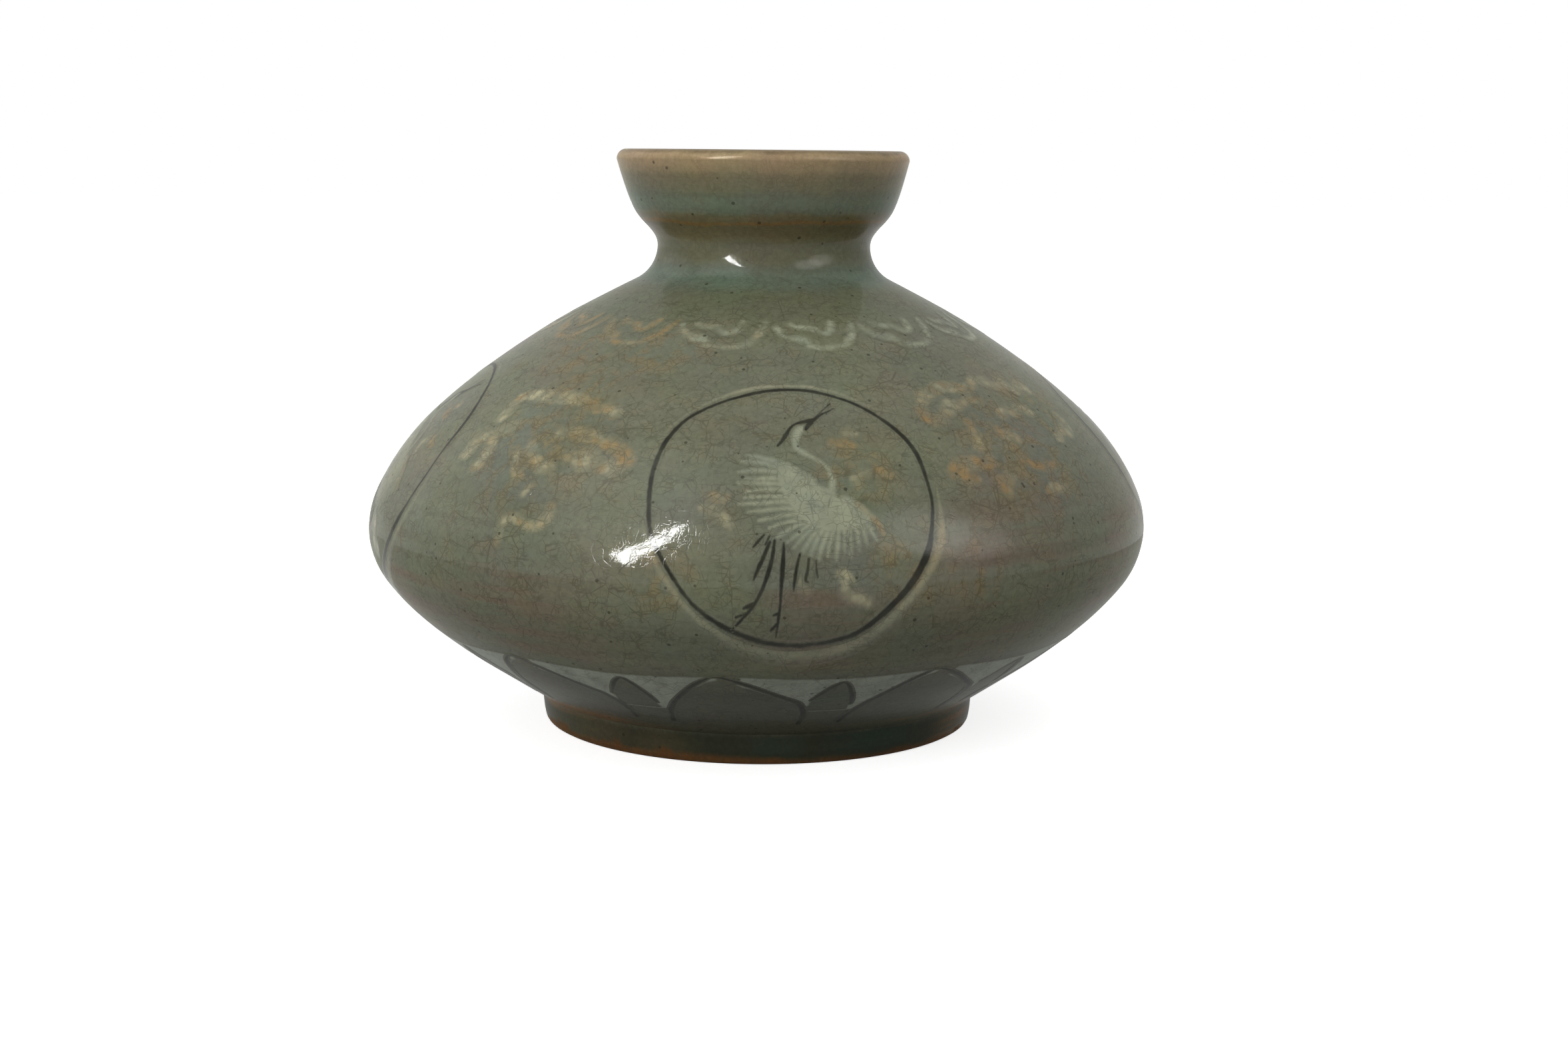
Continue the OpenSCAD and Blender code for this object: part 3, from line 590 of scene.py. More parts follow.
cloudRight = {
    "margin": 0.95, "cell": 0.26, "proud": 0.02,
    "strokes": [
        [(-9.8, 10.8, 0.6, 0.7), (-8.8, 11.5, 0.7, 0.6), (-7, 12, 0.5, 0.6), (-5.2, 12.4, 0.8, 0.5),
         (-3, 12, 0.75, 0.6), (-1.5, 11.4, 0.65, 0.6), (0.4, 12, 0.45, 0.5), (2, 13.2, 0.5, 0.2),
         (4, 12.4, 0.8, 0.05), (6.2, 11.4, 0.5, 0.6), (7.5, 12.3, 0.5, 0.5), (9, 10.9, 0.7, 0.3),
         (11, 11.7, 0.85, 0), (12.4, 11, 0.5, 0.2)],
        [(-11.2, 9.2, 0.5, 0.8), (-11.1, 7.9, 0.7, 1), (-10.2, 7, 0.7, 0.8), (-8.4, 7.6, 0.5, 0.6),
         (-6.2, 9.1, 0.8, 0.05), (-4.6, 8.9, 0.5, 0.8), (-2.6, 9.5, 0.4, 0.7), (-0.8, 9.2, 0.45, 0.9)],
        [(1.2, 6.3, 0.55, 0.4), (2.8, 6.9, 0.4, 0.5), (4.5, 6.4, 0.45, 0.6), (6, 7.2, 0.5, 0.2),
         (7.4, 6.8, 0.75, 0)],
        [(-7, 1.6, 0.45, 0.7), (-5.9, 3.4, 0.35, 0.8), (-5.6, 5.5, 0.45, 0.9)],
        [(-1.6, 3.7, 0.4, 0.8), (-0.6, 2.8, 0.5, 0.5), (0.6, 2.1, 0.55, 0.4)],
        [(-13, -1, 0.6, 1), (-11.6, -0.5, 0.95, 0.8), (-9.8, -0.3, 0.8, 0.6), (-7.8, -0.8, 0.75, 1),
         (-6.4, -0.6, 0.5, 0.9)],
        [(-11.8, -2.1, 0.55, 0.9), (-10.4, -2.5, 0.5, 0.9)],
        [(-6.3, -5.3, 0.5, 0.9), (-6.1, -4.1, 0.8, 0.9), (-4.9, -3.5, 0.6, 0.6)],
        [(10, 1.8, 0.5, 0.2), (12, 3, 0.65, 0.6), (14, 3.3, 0.85, 0.2), (14.6, 4.8, 0.7, 0.4),
         (14.1, 6.2, 0.4, 0.6)],
        [(1.3, -6.4, 0.4, 0.8), (3, -5.9, 0.5, 0.4), (4.6, -6.2, 0.4, 0.3)],
        [(-1, -1.5, 0.2, 1.2), (1.2, -2.5, 0.25, 1.2), (3.6, -2.8, 0.22, 1.2), (5.5, -2.4, 0.15, 1.2)],
    ],
}
lappetDrawing = {
    "count": 14, "first": 14.3, "level": 57.5,
    "stains": {14: 0.4, 13: 0.9, 12: 1.0, 11: 0.6, 4: 0.3, 7: 0.5, 8: 0.3},
    "sway": {"widen": 0.08, "widenBeat": 2.1, "slant": 0.35, "slantBeat": 1.7, "slantStart": 0.5},
    "margin": 0.6, "cell": 0.18, "proud": 0.02,
    "strokes": [
        [(-5, 1.9, 0.26), (-4.8, 0.6, 0.44), (-4.2, -0.5, 0.47), (-3.4, -1.1, 0.59), (-2.3, -1.4, 0.81),
         (-1.6, -1.9, 0.39)],
        [(-1.5, -3, 0.2), (0, -3.3, 0.42), (1.6, -3.2, 0.39), (3.2, -2.7, 0.39), (4.3, -1.3, 0.44),
         (4.9, 0.3, 0.47), (5.1, 1.7, 0.36), (5.3, 2.8, 0.16)],
        [(-3.1, 2.2, 0.26), (-2.7, 1.5, 0.42), (-1.5, 1.2, 0.44), (-0.5, 1.1, 0.47), (0.2, 0.3, 0.44),
         (0.9, -0.2, 0.47), (1.7, 0.2, 0.44), (2.2, 1.2, 0.44), (2.5, 2.6, 0.31)],
    ],
}
petalDrawing = {
    "count": 10, "first": -4, "level": 11,
    "margin": 0.22, "cell": 0.15, "proud": 0.03,
    "strokes": [
        [(-8.5, -8.3, 0.38), (-8.5, -5, 0.43), (-7.9, -2, 0.4), (-7.3, -0.2, 0.38), (-5.9, 2.8, 0.35),
         (-4.5, 5.2, 0.33), (-3.2, 6.7, 0.28), (-2.1, 7.6, 0.12), (-0.8, 7.6, 0.22), (1.3, 6.4, 0.33),
         (3.3, 4.9, 0.35), (5.3, 2.9, 0.35), (7.3, 0.8, 0.4), (8.3, -0.6, 0.45), (8.8, -3.5, 0.45),
         (8.5, -6.2, 0.43), (7.8, -8.3, 0.35)],
    ],
}
tipDrawing = {
    "margin": 0.22, "cell": 0.15, "proud": 0.03,
    "strokes": [
        [(-3, 0.8, 0.15), (-2, 3, 0.28), (-1, 4.8, 0.31), (0, 5.9, 0.25), (0.6, 5.9, 0.22),
         (1.3, 4.8, 0.3), (2.1, 2.4, 0.33), (2.5, 0.4, 0.3), (2.6, -1, 0.18)],
    ],
}
petalOutline = [
    (-8.5, -9), (-8.5, -5), (-7.9, -2), (-7.3, -0.2), (-5.9, 2.8), (-4.5, 5.2), (-3.2, 6.7),
    (-1.6, 7.8), (-0.6, 7.5), (1.3, 6.4), (3.3, 4.9), (5.3, 2.9), (7.3, 0.8), (8.3, -0.6), (8.8, -3.5),
    (8.5, -6.2), (7.8, -9),
]
tipOutline = [
    (-3.4, -3), (-3, 0.8), (-2, 3), (-1, 4.8), (0.2, 6), (1.3, 4.8), (2.1, 2.4), (2.5, 0.4), (2.6, -3),
]


def turnedOutline(outline, turn, level):
    rise, radius = math.sin(wallLean(level)), wallRadius(level)
    out = []
    for x, y in outline:
        r = radius + y * rise
        a = math.radians(turn) + x / r
        out.append((r * math.sin(a), (r * math.cos(a) - radius) / rise))
    return out


petalStep = 360 / petalDrawing["count"]
groundDrawing = {
    "margin": 0.3, "cell": 0.18, "proud": 0.012,
    "fills": [[(-13, -3), (13, -3), (13, 6.2), (9, 6.7), (4.5, 6.95), (0, 7.0), (-4.5, 6.95), (-9, 6.7),
               (-13, 6.2)]],
    "cuts": [turnedOutline(petalOutline, -petalStep / 2, petalDrawing["level"]),
             turnedOutline(petalOutline, petalStep / 2, petalDrawing["level"]), tipOutline],
}

roundelPieces = {}
for key, drawing in (("halo", haloDrawing), ("crane", craneDrawing), ("wisps", wispDrawing),
                     ("craneLines", lineDrawing), ("ring", ringDrawing)):
    front = layInlay(key + "Front", roundel["az"]["front"], roundel["level"], drawing)
    roundelPieces[key, "front"] = front
    for side in ("right", "back", "left"):
        turn = roundel["az"][side] - roundel["az"]["front"]
        roundelPieces[key, side] = copyRound(front, key + side.capitalize(), turn)
setStain(roundelPieces["halo", "left"], roundel["leftStain"])
print("roundels laid:", len(roundelPieces))

cloud = {
    "az": [45, 139, 233, -38],
    "level": 43,
}
cloudPieces = []
for i, az in enumerate(cloud["az"]):
    if i < 2:
        cloudPieces.append(layInlay(f"cloud{i + 1}", az, cloud["level"], (cloudRight, cloudLeft)[i]))
    else:
        cloudPieces.append(copyRound(cloudPieces[i - 2], f"cloud{i + 1}", az - cloud["az"][i - 2]))


def ringAround(name, drawing):
    count = drawing["count"]
    one = layInlay(name + "1", drawing["first"], drawing["level"], drawing)
    return [one] + [copyRound(one, f"{name}{i + 1}", i * 360 / count) for i in range(1, count)]


def ringJoined(name, drawing):
    one = layInlay(name, petalDrawing["first"] + petalStep / 2, petalDrawing["level"], drawing)
    rest = [copyRound(one, f"{name}{i}", i * petalStep) for i in range(1, petalDrawing["count"])]
    clearPick()
    for piece in [one] + rest:
        piece.select_set(True)
    bpy.context.view_layer.objects.active = one
    bpy.ops.object.join()
    return one


lappetPieces = ringAround("lappet", lappetDrawing)
sway = lappetDrawing["sway"]
for i, piece in enumerate(lappetPieces):  # each one carved by hand
    az = lappetDrawing["first"] + i * 360 / lappetDrawing["count"]
    wider = 1 + sway["widen"] * math.sin(sway["widenBeat"] * i)
    slant = sway["slant"] * math.sin(sway["slantBeat"] * i + sway["slantStart"])
    swayRound(piece, az, lappetDrawing["level"], wider, slant)
for i, more in lappetDrawing["stains"].items():
    setStain(lappetPieces[i - 1], 1.0, more)
petalPieces = ringAround("petal", petalDrawing)
lotusTips = ringJoined("lotusTips", tipDrawing)
lotusGround = ringJoined("lotusGround", groundDrawing)
print("collar, clouds and lotus laid")


# the thrown pot leans and swells a little, all pieces together
thrown = {
    "height": [0, 8, 16, 24, 29, 34, 40, 50, 58, 66, 72, 80],
    "lean": [0.15, 0.0, -0.5, -0.35, -0.15, 0.15, 0.25, 0.4, 0.4, 0.5, 0.5, 0.25],
    "swell": [0, 0, 0.25, 0.3, 0.05, 0, 0, 0.1, 0.2, 0.2, 0.05, 0.1],
    "around": (-4, -2, 0, 2, 4),  # each level takes the mean of these
    "core": 5,
}


def easedBy(z, key):
    rows = [np.interp(z + d, thrown["height"], thrown[key]) for d in thrown["around"]]
    return sum(rows) / len(rows)


def leanPot(coords):
    z = coords[:, 2] / mm
    radius = np.maximum(np.linalg.norm(coords[:, :2], axis=1), thrown["core"] * mm)
    moved = coords.copy()
    moved[:, :2] *= (1 + easedBy(z, "swell") * mm / radius)[:, None]
    moved[:, 0] += easedBy(z, "lean") * mm
    return moved


clayPieces = [footRing, lowerBody, upperBody, neckCollar, mouthCup]
inlayPieces = list(roundelPieces.values()) + cloudPieces + lappetPieces + petalPieces
inlayPieces += [lotusTips, lotusGround]
for piece in clayPieces + inlayPieces:
    writeCoords(piece, leanPot(coordsOf(piece)))
bpy.data.objects.remove(guide)


# node helpers
def srgb(r, g, b):
    return tuple(((v / 255 + 0.055) / 1.055) ** 2.4 if v > 10 else v / 255 / 12.92 for v in (r, g, b)) + (1,)


graph = {}  # the node tree that is being filled


def startGraph(tree):
    tree.nodes.clear()
    graph["tree"] = tree
    return tree


def put(socket, value):
    if isinstance(value, bpy.types.NodeSocket):
        graph["tree"].links.new(value, socket)
    else:
        socket.default_value = value


def add(kind, values=None, **settings):
    node = graph["tree"].nodes.new("ShaderNode" + kind)
    for key, value in settings.items():
        setattr(node, key, value)
    for key, value in (values or {}).items():
        put(node.inputs[key], value)
    return node


def calc(operation, a, b=0.5):
    return add("Math", {0: a, 1: b}, operation=operation).outputs[0]


def plus(a, b):
    return calc("ADD", a, b)


def minus(a, b):
    return calc("SUBTRACT", a, b)


def times(a, b):
    return calc("MULTIPLY", a, b)


def larger(a, b):
    return calc("MAXIMUM", a, b)


def ramp(value, low, high, start=0.0, end=1.0):
    values = dict(enumerate((value, low, high, start, end)))
    return add("MapRange", values, interpolation_type="SMOOTHSTEP").outputs[0]


def blend(share, a, b, kind="MIX"):
    return add("Mix", {0: share, 6: a, 7: b}, data_type="RGBA", blend_type=kind).outputs[2]


def stretched(vector, scale, shift=(0, 0, 0)):
    return add("Mapping", {"Vector": vector, "Scale": scale, "Location": shift}).outputs[0]


def cloudNoise(vector, scale, detail=3.0, rough=0.55):
    values = {"Vector": vector, "Scale": scale, "Detail": detail, "Roughness": rough}
    return add("TexNoise", values).outputs[0]


def cells(vector, scale, feature):
    return add("TexVoronoi", {"Vector": vector, "Scale": scale}, feature=feature).outputs


def nearSpot(place, spot, reach):
    away = add("VectorMath", {0: place, 1: spot}, operation="DISTANCE").outputs["Value"]
    return ramp(away, reach * glaze["spotCore"], reach, 1.0, 0.0)


def wallSpot(az, z):
    r, a = wallRadius(z) * mm, math.radians(az)
    return (r * math.sin(a), -r * math.cos(a), z * mm)


def band(z, low, rise, fall, high):
    return times(ramp(z, low, rise), ramp(z, fall, high, 1.0, 0.0))


glaze = {
    "grey": srgb(120, 120, 99),
    "green": srgb(113, 117, 97),
    "blue": srgb(110, 114, 103),
    "olive": srgb(116, 114, 88),
    "warm": srgb(128, 118, 92),
    "pool": srgb(96, 112, 97),
    "shade": srgb(104, 107, 84),
    "waist": srgb(98, 97, 76),
    "rim": srgb(174, 151, 116),
    "cup": srgb(122, 114, 89),
    "ridge": srgb(110, 101, 74),
    "ridgeLine": srgb(132, 102, 60),
    "lipTop": srgb(116, 101, 74),
    "pink": srgb(118, 100, 84),
    "rust": srgb(130, 92, 54),
    "amber": srgb(138, 120, 82),
    "lotus": srgb(78, 80, 66),
    "footGlazeAndShade": srgb(42, 44, 32),
    "teal": srgb(44, 66, 60),
    "bareClay": srgb(98, 68, 38),
    "line": srgb(52, 52, 40),
    "speck": srgb(40, 38, 28),
    "blueSpots": [((-38, 44), 17), ((45, 43), 17), ((8, 28), 14), ((139, 44), 17), ((-127, 43), 17)],
    "pinkSpots": [((-58, 24), 12), ((8, 23), 13), ((38, 27), 20), ((62, 25), 18), ((-35, 23), 16),
                  ((130, 26), 20), ((-150, 25), 18)],
    "warmSpots": [((-46, 55), 10), ((-24, 55), 8), ((-36, 50), 9), ((60, 47), 10), ((30, 31), 8),
                  ((160, 54), 10), ((45, 43), 16), ((-38, 44), 14), ((139, 44), 14), ((-127, 43), 16),
                  ((14, 42), 8), ((20, 31), 8), ((-12, 29), 6)],
    "rustSpots": [((-58, 6), 12), ((-46, 2), 12), ((-25, 0), 8), ((64, 1), 9), ((120, 2), 12),
                  ((200, 5), 10)],
    "tealSpots": [((32, 3), 12), ((5, 3), 6), ((150, 3), 12)],
    "spotCore": 0.15,
    "patches": [  # colour, noise, its levels, amount
        ("olive", "middle", (0.52, 0.72), 0.55), ("warm", "small", (0.5, 0.75), 0.4),
    ],
    "tinted": [  # the same round some spots
        ("blue", "blueSpots", "middle", (0.62, 0.4), 0.55),
        ("amber", "warmSpots", "small", (0.42, 0.62), 0.5),
        # the pink streaks are partly the glaze's own tone and partly a painted darker reflection on the lower
        # belly
        ("pink", "pinkSpots", "streak", (0.36, 0.66), 0.8),
    ],
    "wobble": 1.6,  # mm, for the levels of the bands
    "bareWobble": 3.0,
    "noise": {"wide": 42, "middle": 150, "small": 420, "fine": 1500, "hue": 110, "bend": 300},
    "streak": (20, 20, 380),
    "turning": (9, 9, 900),
    "bands": [  # colour, where it rises and falls in mm, amount
        # the shade band is painted shade on the shoulder just below the neck
        ("shade", (56.5, 60.5, 62, 64), 0.8), ("pool", (61.5, 63.6, 65, 67), 0.8),
        ("waist", (64, 66.5, 68, 70), 0.8), ("ridge", (68, 69.6, 71.8, 73.4), 0.9),
        ("ridgeLine", (70.9, 71.2, 71.4, 71.7), 0.6), ("pool", (72.2, 73, 74.6, 76.4), 0.5),
    ],
    "steps": [  # colour, heights in mm with the shares there, amount
        ("cup", (74, 77.5, 0, 1), 0.8), ("rim", (76.6, 80.2, 0, 1), 0.95),
        # the lotus and foot steps darken the glaze towards the bottom: painted shade, on the foot also the
        # glaze's own darker tone
        ("lipTop", (80.3, 80.9, 0, 1), 0.8), ("lotus", (12, 18, 1, 0), 0.9),
        ("footGlazeAndShade", (3.6, 5.2, 1, 0), 0.9),
    ],
    "rustBand": (3.4, 4.6, 5.4, 8),
    "tealBand": (0.8, 2, 3.6, 4.8),
    "footBand": (-1, 0, 6.6, 8),
    "footShares": {"rust": 0.6, "teal": 0.35, "amber": 0.14, "burnt": 0.55},
    "hues": {"share": 0.5, "strength": 0.28},
    "sheen": 0.02,
    "crackle": {"fineCells": 540, "largeCells": 240, "bend": 0.0007, "share": 0.4,
                "weave": [((240, 240, 800), 0.1), ((800, 800, 240), 0.4)]},
    "specks": {"cells": 560, "share": 0.65},
    "bump": {"strength": 0.2, "height": 0.0001},
}


def anyOf(place, spots):
    total = None
    for (az, level), reach in spots:
        share = nearSpot(place, wallSpot(az, level), reach * mm)
        total = share if total is None else larger(total, share)
    return total


def makeGlaze():
    tree = startGraph(bpy.data.node_groups.new("celadonGlaze", "ShaderNodeTree"))
    tree.interface.new_socket("Colour", in_out="OUTPUT", socket_type="NodeSocketColor")
    for name in ("Lines", "Specks", "Rough", "Height"):
        tree.interface.new_socket(name, in_out="OUTPUT", socket_type="NodeSocketFloat")
    place = add("TexCoord").outputs["Object"]
    scale = glaze["noise"]
    noise = {
        "wide": cloudNoise(place, scale["wide"], 4),
        "middle": cloudNoise(place, scale["middle"], 4, 0.6),
        "small": cloudNoise(stretched(place, (1, 1, 1), (0.3, 0.1, 0.2)), scale["small"], 4, 0.6),
        "fine": cloudNoise(place, scale["fine"], 3),
        "streak": cloudNoise(stretched(place, glaze["streak"]), 1.0, 4),
        "turning": cloudNoise(stretched(place, glaze["turning"]), 1.0, 3),
    }
    z = times(add("SeparateXYZ", {0: place}).outputs["Z"], 1000.0)
    z = plus(z, times(minus(noise["middle"], 0.5), glaze["wobble"]))

    def layer(under, share, amount, over):
        return blend(times(share, amount), under, glaze[over])

    def noisy(key, *levels):
        return ramp(noise[key], *levels)

    def near(spots):
        return anyOf(place, glaze[spots])

    # ground with its patches, then the levels of neck, cup, lotus band and foot; the shade band and the lotus
    # and foot steps are painted shade
    colour = blend(noisy("wide", 0.35, 0.65), glaze["grey"], glaze["green"])
    for over, key, levels, amount in glaze["patches"]:
        colour = layer(colour, noisy(key, *levels), amount, over)
    for over, spots, key, levels, amount in glaze["tinted"]:
        colour = layer(colour, times(near(spots), noisy(key, *levels)), amount, over)
    for over, levels, amount in glaze["bands"]:
        colour = layer(colour, band(z, *levels), amount, over)
    for over, levels, amount in glaze["steps"]:
        colour = layer(colour, ramp(z, *levels), amount, over)
    shares = glaze["footShares"]
    rust = times(noisy("streak", 0.48, 0.66), band(z, *glaze["rustBand"]))
    colour = layer(colour, rust, shares["rust"], "rust")
    # teal patches on the foot: painted reflection glints, partly the glaze's own teal
    teal = times(near("tealSpots"), band(z, *glaze["tealBand"]))
    colour = layer(colour, teal, shares["teal"], "teal")

    # burnt places at the foot and the bare clay under its edge
    burnt = near("rustSpots")
    bared = times(burnt, band(z, *glaze["footBand"]))
    colour = layer(colour, bared, shares["amber"], "amber")
    colour = layer(colour, times(bared, noisy("streak", 0.46, 0.62)), shares["burnt"], "rust")
    edge = plus(z, times(minus(noise["wide"], 0.5), glaze["bareWobble"]))
    chips = times(burnt, noisy("middle", 0.42, 0.66, 0.0, 1.4))
    bare = ramp(minus(edge, chips), 0.1, 1.3, 1.0, 0.0)
    colour = blend(bare, colour, glaze["bareClay"])

    # fine grain, throwing lines and small changes of hue
    grain = times(noisy("fine", 0.3, 0.7, 0.92, 1.07), noisy("turning", 0.3, 0.7, 0.95, 1.05))
    grain = add("CombineXYZ", {0: grain, 1: grain, 2: grain}).outputs[0]
    colour = blend(1.0, colour, grain, "MULTIPLY")
    hues = add("TexNoise", {"Vector": place, "Scale": scale["hue"], "Detail": 4}).outputs["Color"]
    tint = blend(glaze["hues"]["share"], (0.5, 0.5, 0.5, 1), hues)
    colour = blend(glaze["hues"]["strength"], colour, tint, "SOFT_LIGHT")

    # crackle of two sizes, with finer lines woven in
    facts = glaze["crackle"]
    shake = add("TexNoise", {"Vector": place, "Scale": scale["bend"]}).outputs["Color"]
    bent = add("VectorMath", {0: shake, 1: (facts["bend"],) * 3, 2: place}, operation="MULTIPLY_ADD")
    fine, large = (cells(bent.outputs[0], facts[key], "DISTANCE_TO_EDGE")["Distance"]
                   for key in ("fineCells", "largeCells"))
    large = times(ramp(large, 0.008, 0.028, 1.0, 0.0), noisy("middle", 0.4, 0.55))
    crack = larger(ramp(fine, 0.006, 0.04, 1.0, 0.0), large)
    for spread, shift in facts["weave"]:
        weave = cloudNoise(stretched(place, spread, (shift, shift, shift)), 1.0, 2)
        off = calc("ABSOLUTE", minus(weave, 0.5))
        crack = larger(crack, ramp(off, 0.004, 0.024, 0.8, 0.0))
    crack = times(crack, noisy("small", 0.35, 0.6, 0.2, 1.0))
    crack = times(crack, ramp(z, 60, 66, 1.0, 0.45))

    # iron specks in some of the cells
    spot = cells(place, glaze["specks"]["cells"], "F1")
    chosen = add("SeparateColor", {0: spot["Color"]}).outputs[0]
    size = ramp(chosen, 0.3, 1.0, 0.02, 0.14)
    speck = ramp(minus(spot["Distance"], size), -0.03, 0.03, 1.0, 0.0)
    speck = times(speck, ramp(chosen, 0.3, 0.45))

    height = plus(times(noise["small"], 0.3), times(noise["fine"], 0.4))
    height = minus(height, times(crack, 0.25))
    ends = tree.nodes.new("NodeGroupOutput")
    for name, value in (("Colour", colour), ("Lines", crack), ("Specks", speck), ("Height", height),
                        ("Rough", ramp(bare, 0, 1, 0.42, 0.8))):
        tree.links.new(value, ends.inputs[name])
    return tree


glazeGroup = makeGlaze()


def emptyMaterial(name):
    material = bpy.data.materials.new(name)
    material.use_nodes = True
    startGraph(material.node_tree)
    return material


def startMaterial(name, gloss, polish):
    material = emptyMaterial(name)
    values = {"Specular IOR Level": glaze["sheen"], "Coat Weight": gloss, "Coat Roughness": polish}
    shader = add("BsdfPrincipled", values)
    add("OutputMaterial", {0: shader.outputs[0]})
    coat = add("Group", node_tree=glazeGroup).outputs
    return material, shader, coat


def finishMaterial(shader, coat, colour):
    colour = blend(times(coat["Lines"], glaze["crackle"]["share"]), colour, glaze["line"])
    colour = blend(times(coat["Specks"], glaze["specks"]["share"]), colour, glaze["speck"])
    put(shader.inputs["Base Color"], colour)
    put(shader.inputs["Roughness"], coat["Rough"])
    facts = glaze["bump"]
    values = {"Strength": facts["strength"], "Distance": facts["height"], "Height": coat["Height"]}
    bump = add("Bump", values).outputs[0]
    put(shader.inputs["Normal"], bump)
    put(shader.inputs["Coat Normal"], bump)


def makeClayLook(name, gloss, polish):
    material, shader, coat = startMaterial(name, gloss, polish)
    finishMaterial(shader, coat, coat["Colour"])
    return material


slipBase = {
    "gloss": 0.18,
    "polish": 0.04,
    "beads": 0.0,
    "ragged": 1.6,
    "core": 0.3,
    "mottle": 0.9,
}
slip = {
    "whiteSlip": {
        "pure": srgb(162, 165, 139), "thin": srgb(146, 153, 133), "stain": srgb(152, 128, 86),
        "edge": (-0.4, 0.42), "wear": 0.3, "cover": 0.95, "margin": 0.4,
    },
    "wornSlip": {
        "pure": srgb(150, 150, 124), "thin": srgb(140, 142, 120), "stain": srgb(150, 128, 86),
        "edge": (-0.4, 0.5), "wear": 0.45, "cover": 0.8, "margin": 0.4,
    },
    "haloSlip": {
        "pure": srgb(162, 160, 132), "thin": srgb(148, 150, 126), "stain": srgb(156, 134, 92),
        "edge": (-0.5, 0.2), "wear": 0.35, "cover": 0.85, "margin": 0.55,
    },
    "collarSlip": {
        "pure": srgb(164, 168, 142), "thin": srgb(148, 155, 133), "stain": srgb(152, 130, 88),
        "edge": (-0.55, 0.45), "wear": 0.65, "cover": 1.0, "margin": 0.55, "beads": 0.4,
    },
    "stainedSlip": {
        "pure": srgb(178, 173, 140), "thin": srgb(160, 156, 124), "stain": srgb(158, 132, 86),
        "edge": (-1.0, 0.45), "wear": 0.48, "cover": 1.0, "margin": 0.94, "beads": 0.6,
    },
    "fadedSlip": {
        "pure": srgb(168, 163, 132), "thin": srgb(152, 149, 120), "stain": srgb(156, 128, 84),
        "edge": (-1.05, 0.35), "wear": 0.5, "cover": 0.92, "margin": 0.94, "beads": 0.55,
    },
    "blackSlip": {
        "pure": srgb(24, 24, 18), "thin": srgb(36, 36, 28), "stain": srgb(40, 41, 33),
        "edge": (-0.14, 0.14), "wear": 0.15, "cover": 0.95, "margin": 0.2,
    },
    "petalSlip": {
        "pure": srgb(22, 23, 18), "thin": srgb(32, 33, 26), "stain": srgb(40, 41, 33), "gloss": 0.035,
        "edge": (-0.1, 0.2), "wear": 0.25, "cover": 0.92, "margin": 0.2,
    },
    "groundSlip": {
        "pure": srgb(174, 180, 163), "thin": srgb(162, 169, 153), "stain": srgb(140, 128, 96), "gloss": 0.035,
        "edge": (-0.34, 0.3), "wear": 0.25, "cover": 0.9, "margin": 0.4,
    },
}


slipNoise = {
    "rough": 900,
    "broad": 320,
    "patchy": 240,
    "beads": 640,
}


def makeSlipLook(name, facts):
    material, shader, coat = startMaterial(name, facts["gloss"], facts["polish"])
    place = add("TexCoord").outputs["Object"]
    depth = add("Attribute", attribute_name="inlayDepth").outputs["Fac"]
    stain = add("Attribute", attribute_name="inlayStain").outputs["Fac"]
    rough = cloudNoise(place, slipNoise["rough"], 4, 0.6)
    broad = cloudNoise(place, slipNoise["broad"], 3, 0.5)
    patchy = cloudNoise(place, slipNoise["patchy"], 3, 0.6)
    bead = cells(place, slipNoise["beads"], "F1")

    # how much slip is left, with a ragged edge
    edge = plus(depth, times(minus(rough, 0.5), facts["wear"] * facts["ragged"]))
    safe = ramp(depth, -facts["margin"], -facts["margin"] * facts["core"])
    cover = times(ramp(edge, *facts["edge"]), safe)
    worn = ramp(broad, 0.3, 0.6, 1.0 - facts["wear"], 1.0)
    cover = times(cover, times(worn, facts["cover"]))
    cover = times(cover, ramp(bead["Distance"], 0.3, 0.62, 1.0, 1.0 - facts["beads"]))

    # stain, a little different from bead to bead
    tone = add("SeparateColor", {0: bead["Color"]}).outputs[0]
    tone = times(minus(tone, 0.5), facts["beads"])
    mark = plus(stain, times(minus(broad, 0.5), facts["mottle"]))
    mark = plus(mark, tone)
    body = blend(ramp(patchy, 0.4, 0.65), facts["pure"], facts["thin"])
    body = blend(ramp(mark, 0.2, 1.2), body, facts["stain"])
    finishMaterial(shader, coat, blend(cover, coat["Colour"], body))
    return material


clayGloss = {  # coat and its roughness
    "celadonClay": (0.18, 0.04),
    "lowClay": (0.035, 0.04),
    "cupClay": (0.18, 0.22),
    "footClay": (0.05, 0.04),
}
clayLook, lowLook, cupLook, footLook = (makeClayLook(key, *facts) for key, facts in clayGloss.items())
looks = {key: makeSlipLook(key, slipBase | facts) for key, facts in slip.items()}


def dress(piece, look, slot, *nodes):
    piece.data.materials.clear()
    piece.data.materials.append(look)
    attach(piece, "root")
    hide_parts(*nodes)


dress(footRing, footLook, "foot_clay", "foot_ring")
dress(lowerBody, lowLook, "celadon_clay", "lower_body")
dress(upperBody, clayLook, "celadon_clay", "upper_body")
dress(neckCollar, clayLook, "celadon_clay", "neck_collar")
dress(mouthCup, cupLook, "celadon_clay", "mouth_cup")
inlayKinds = {
    "halo": ("haloSlip", "white_inlay", "halo_"),
    "crane": ("whiteSlip", "white_inlay", "crane_"),
    "wisps": ("stainedSlip", "stained_inlay", "wisps_"),
    "craneLines": ("blackSlip", "black_inlay", "crane_lines_"),
    "ring": ("blackSlip", "black_inlay", "ring_"),
}
for (key, side), piece in roundelPieces.items():
    look, slot, node = inlayKinds[key]
    if side == "left" and look in ("whiteSlip", "haloSlip"):
        look = "wornSlip"
    dress(piece, looks[look], slot, node + side)
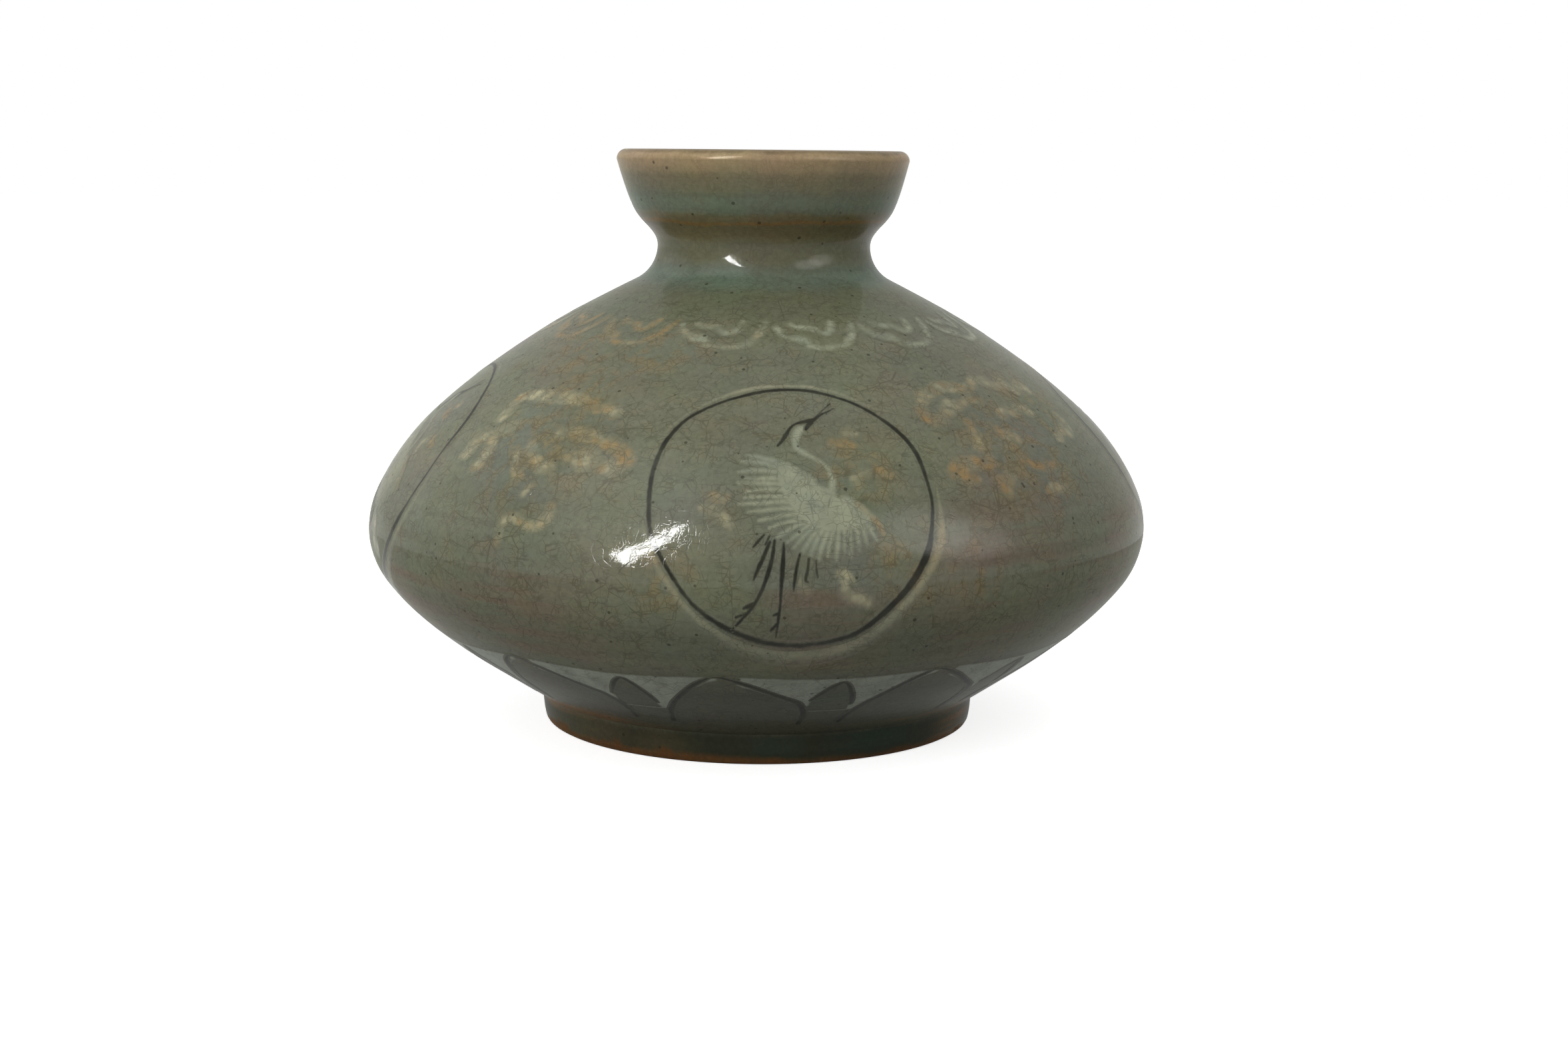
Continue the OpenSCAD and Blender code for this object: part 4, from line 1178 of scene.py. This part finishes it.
for i, piece in enumerate(cloudPieces):
    dress(piece, looks["stainedSlip" if i % 2 else "fadedSlip"], "stained_inlay", f"cloud_{i + 1}")
for i, piece in enumerate(lappetPieces):
    dress(piece, looks["collarSlip"], "white_inlay", f"lappet_{i + 1}")
for i, piece in enumerate(petalPieces):
    dress(piece, looks["petalSlip"], "black_inlay", f"petal_{i + 1}")
dress(lotusTips, looks["petalSlip"], "black_inlay", "lotus_tips")
dress(lotusGround, looks["groundSlip"], "white_inlay", "lotus_ground")
print("glaze and slips on")


# studio
studio = {
    "floorSize": 6.0,
    "floorColour": (0.85, 0.85, 0.85, 1),
    "floorBounce": (0.2, 0.2, 0.2, 1),
    "floorGlow": 0.74,
    "ambient": 0.72,
    "window": {  # ways across its sides, then its top
        "upper": (-0.56, 0.75, 0.35), "lower": (-0.75, 0.63, 0.22), "end": (0.75, -0.44, 0.5),
        "edge": 0.008, "top": 0.72, "topFade": 0.03, "level": 130.0,
    },
    "glows": [  # way, reach in degrees, level
        ((0.66, -0.48, 0.58), 18, 6.0), ((0.84, -0.38, 0.38), 18, 5.0),
        ((-0.5, -0.3, 0.81), 28, 3.0), ((-0.8, 0.4, 0.44), 28, 1.2),
    ],
    "glowCore": 0.35,
    "lamp": {"target": (0, 0, 0.035), "way": (-0.6, -0.75, 0.3), "away": 1.2, "size": (0.6, 0.6),
             "power": 4.2},
    "camera": {"place": (0, -0.335, 0.08185), "pitch": 9.13, "yaw": 0.64, "roll": 0.6, "lens": 54.0,
               "sensor": 36, "clip": (0.01, 50)},
}


def seenDirectly():
    path = add("LightPath").outputs
    mirrored = larger(path["Is Glossy Ray"], path["Is Transmission Ray"])
    return larger(path["Is Camera Ray"], mirrored)


def makeFloor():
    clearPick()
    bpy.ops.mesh.primitive_plane_add(size=studio["floorSize"])
    floor = bpy.context.object
    floor.name = "studioFloor"
    material = emptyMaterial("studioFloor")
    seen = seenDirectly()
    colour = blend(seen, studio["floorBounce"], studio["floorColour"])
    flat = add("BsdfDiffuse", {0: colour})
    glow = add("Emission", {"Strength": times(seen, studio["floorGlow"])})
    both = add("AddShader", {0: flat.outputs[0], 1: glow.outputs[0]})
    add("OutputMaterial", {0: both.outputs[0]})
    floor.data.materials.append(material)


def along(ray, way):
    return add("VectorMath", {0: ray, 1: way}, operation="DOT_PRODUCT").outputs["Value"]


def makeWorld():
    world = bpy.data.worlds.new("studioWorld")
    bpy.context.scene.world = world
    world.use_nodes = True
    startGraph(world.node_tree)
    sky = add("TexCoord").outputs["Generated"]
    facts = studio["window"]
    edge, top = facts["edge"], facts["top"]
    window = ramp(along(sky, facts["upper"]), -edge, edge, facts["level"], 0.0)
    for side in ("lower", "end"):
        window = times(window, ramp(along(sky, facts[side]), -edge, edge))
    below = ramp(along(sky, (0, 0, 1)), top, top + facts["topFade"], 1, 0)
    strength = plus(times(window, below), 1.0)
    for spot, reach, level in studio["glows"]:
        near = along(sky, Vector(spot).normalized())
        rim, core = (math.cos(math.radians(v)) for v in (reach, reach * studio["glowCore"]))
        strength = plus(strength, ramp(near, rim, core, 0.0, level))
    dim = add("Background", {"Color": (1, 1, 1, 1), "Strength": studio["ambient"]})
    bright = add("Background", {"Color": (1, 1, 1, 1), "Strength": strength})
    mix = add("MixShader", {0: seenDirectly(), 1: dim.outputs[0], 2: bright.outputs[0]})
    add("OutputWorld", {0: mix.outputs[0]})


def makeLamp():
    facts = studio["lamp"]
    way = Vector(facts["way"]).normalized()
    bpy.ops.object.light_add(type="AREA", location=Vector(facts["target"]) + way * facts["away"])
    lamp = bpy.context.object
    lamp.name = lamp.data.name = "leftFill"
    lamp.data.shape = "RECTANGLE"
    lamp.data.size, lamp.data.size_y = facts["size"]
    lamp.data.energy = facts["power"]
    lamp.visible_camera = lamp.visible_glossy = False
    lamp.rotation_euler = (-way).to_track_quat("-Z", "Y").to_euler()


def makeCamera():
    facts = studio["camera"]
    bpy.ops.object.camera_add(location=facts["place"])
    camera = bpy.context.object
    aim = Euler((math.radians(90 - facts["pitch"]), 0, math.radians(-facts["yaw"]))).to_matrix()
    camera.rotation_euler = (aim @ Matrix.Rotation(math.radians(facts["roll"]), 3, "Z")).to_euler()
    camera.data.lens = facts["lens"]
    camera.data.sensor_width = facts["sensor"]
    camera.data.clip_start, camera.data.clip_end = facts["clip"]
    bpy.context.scene.camera = camera


makeFloor()
makeWorld()
makeLamp()
makeCamera()
bpy.context.scene.view_settings.view_transform = "Standard"
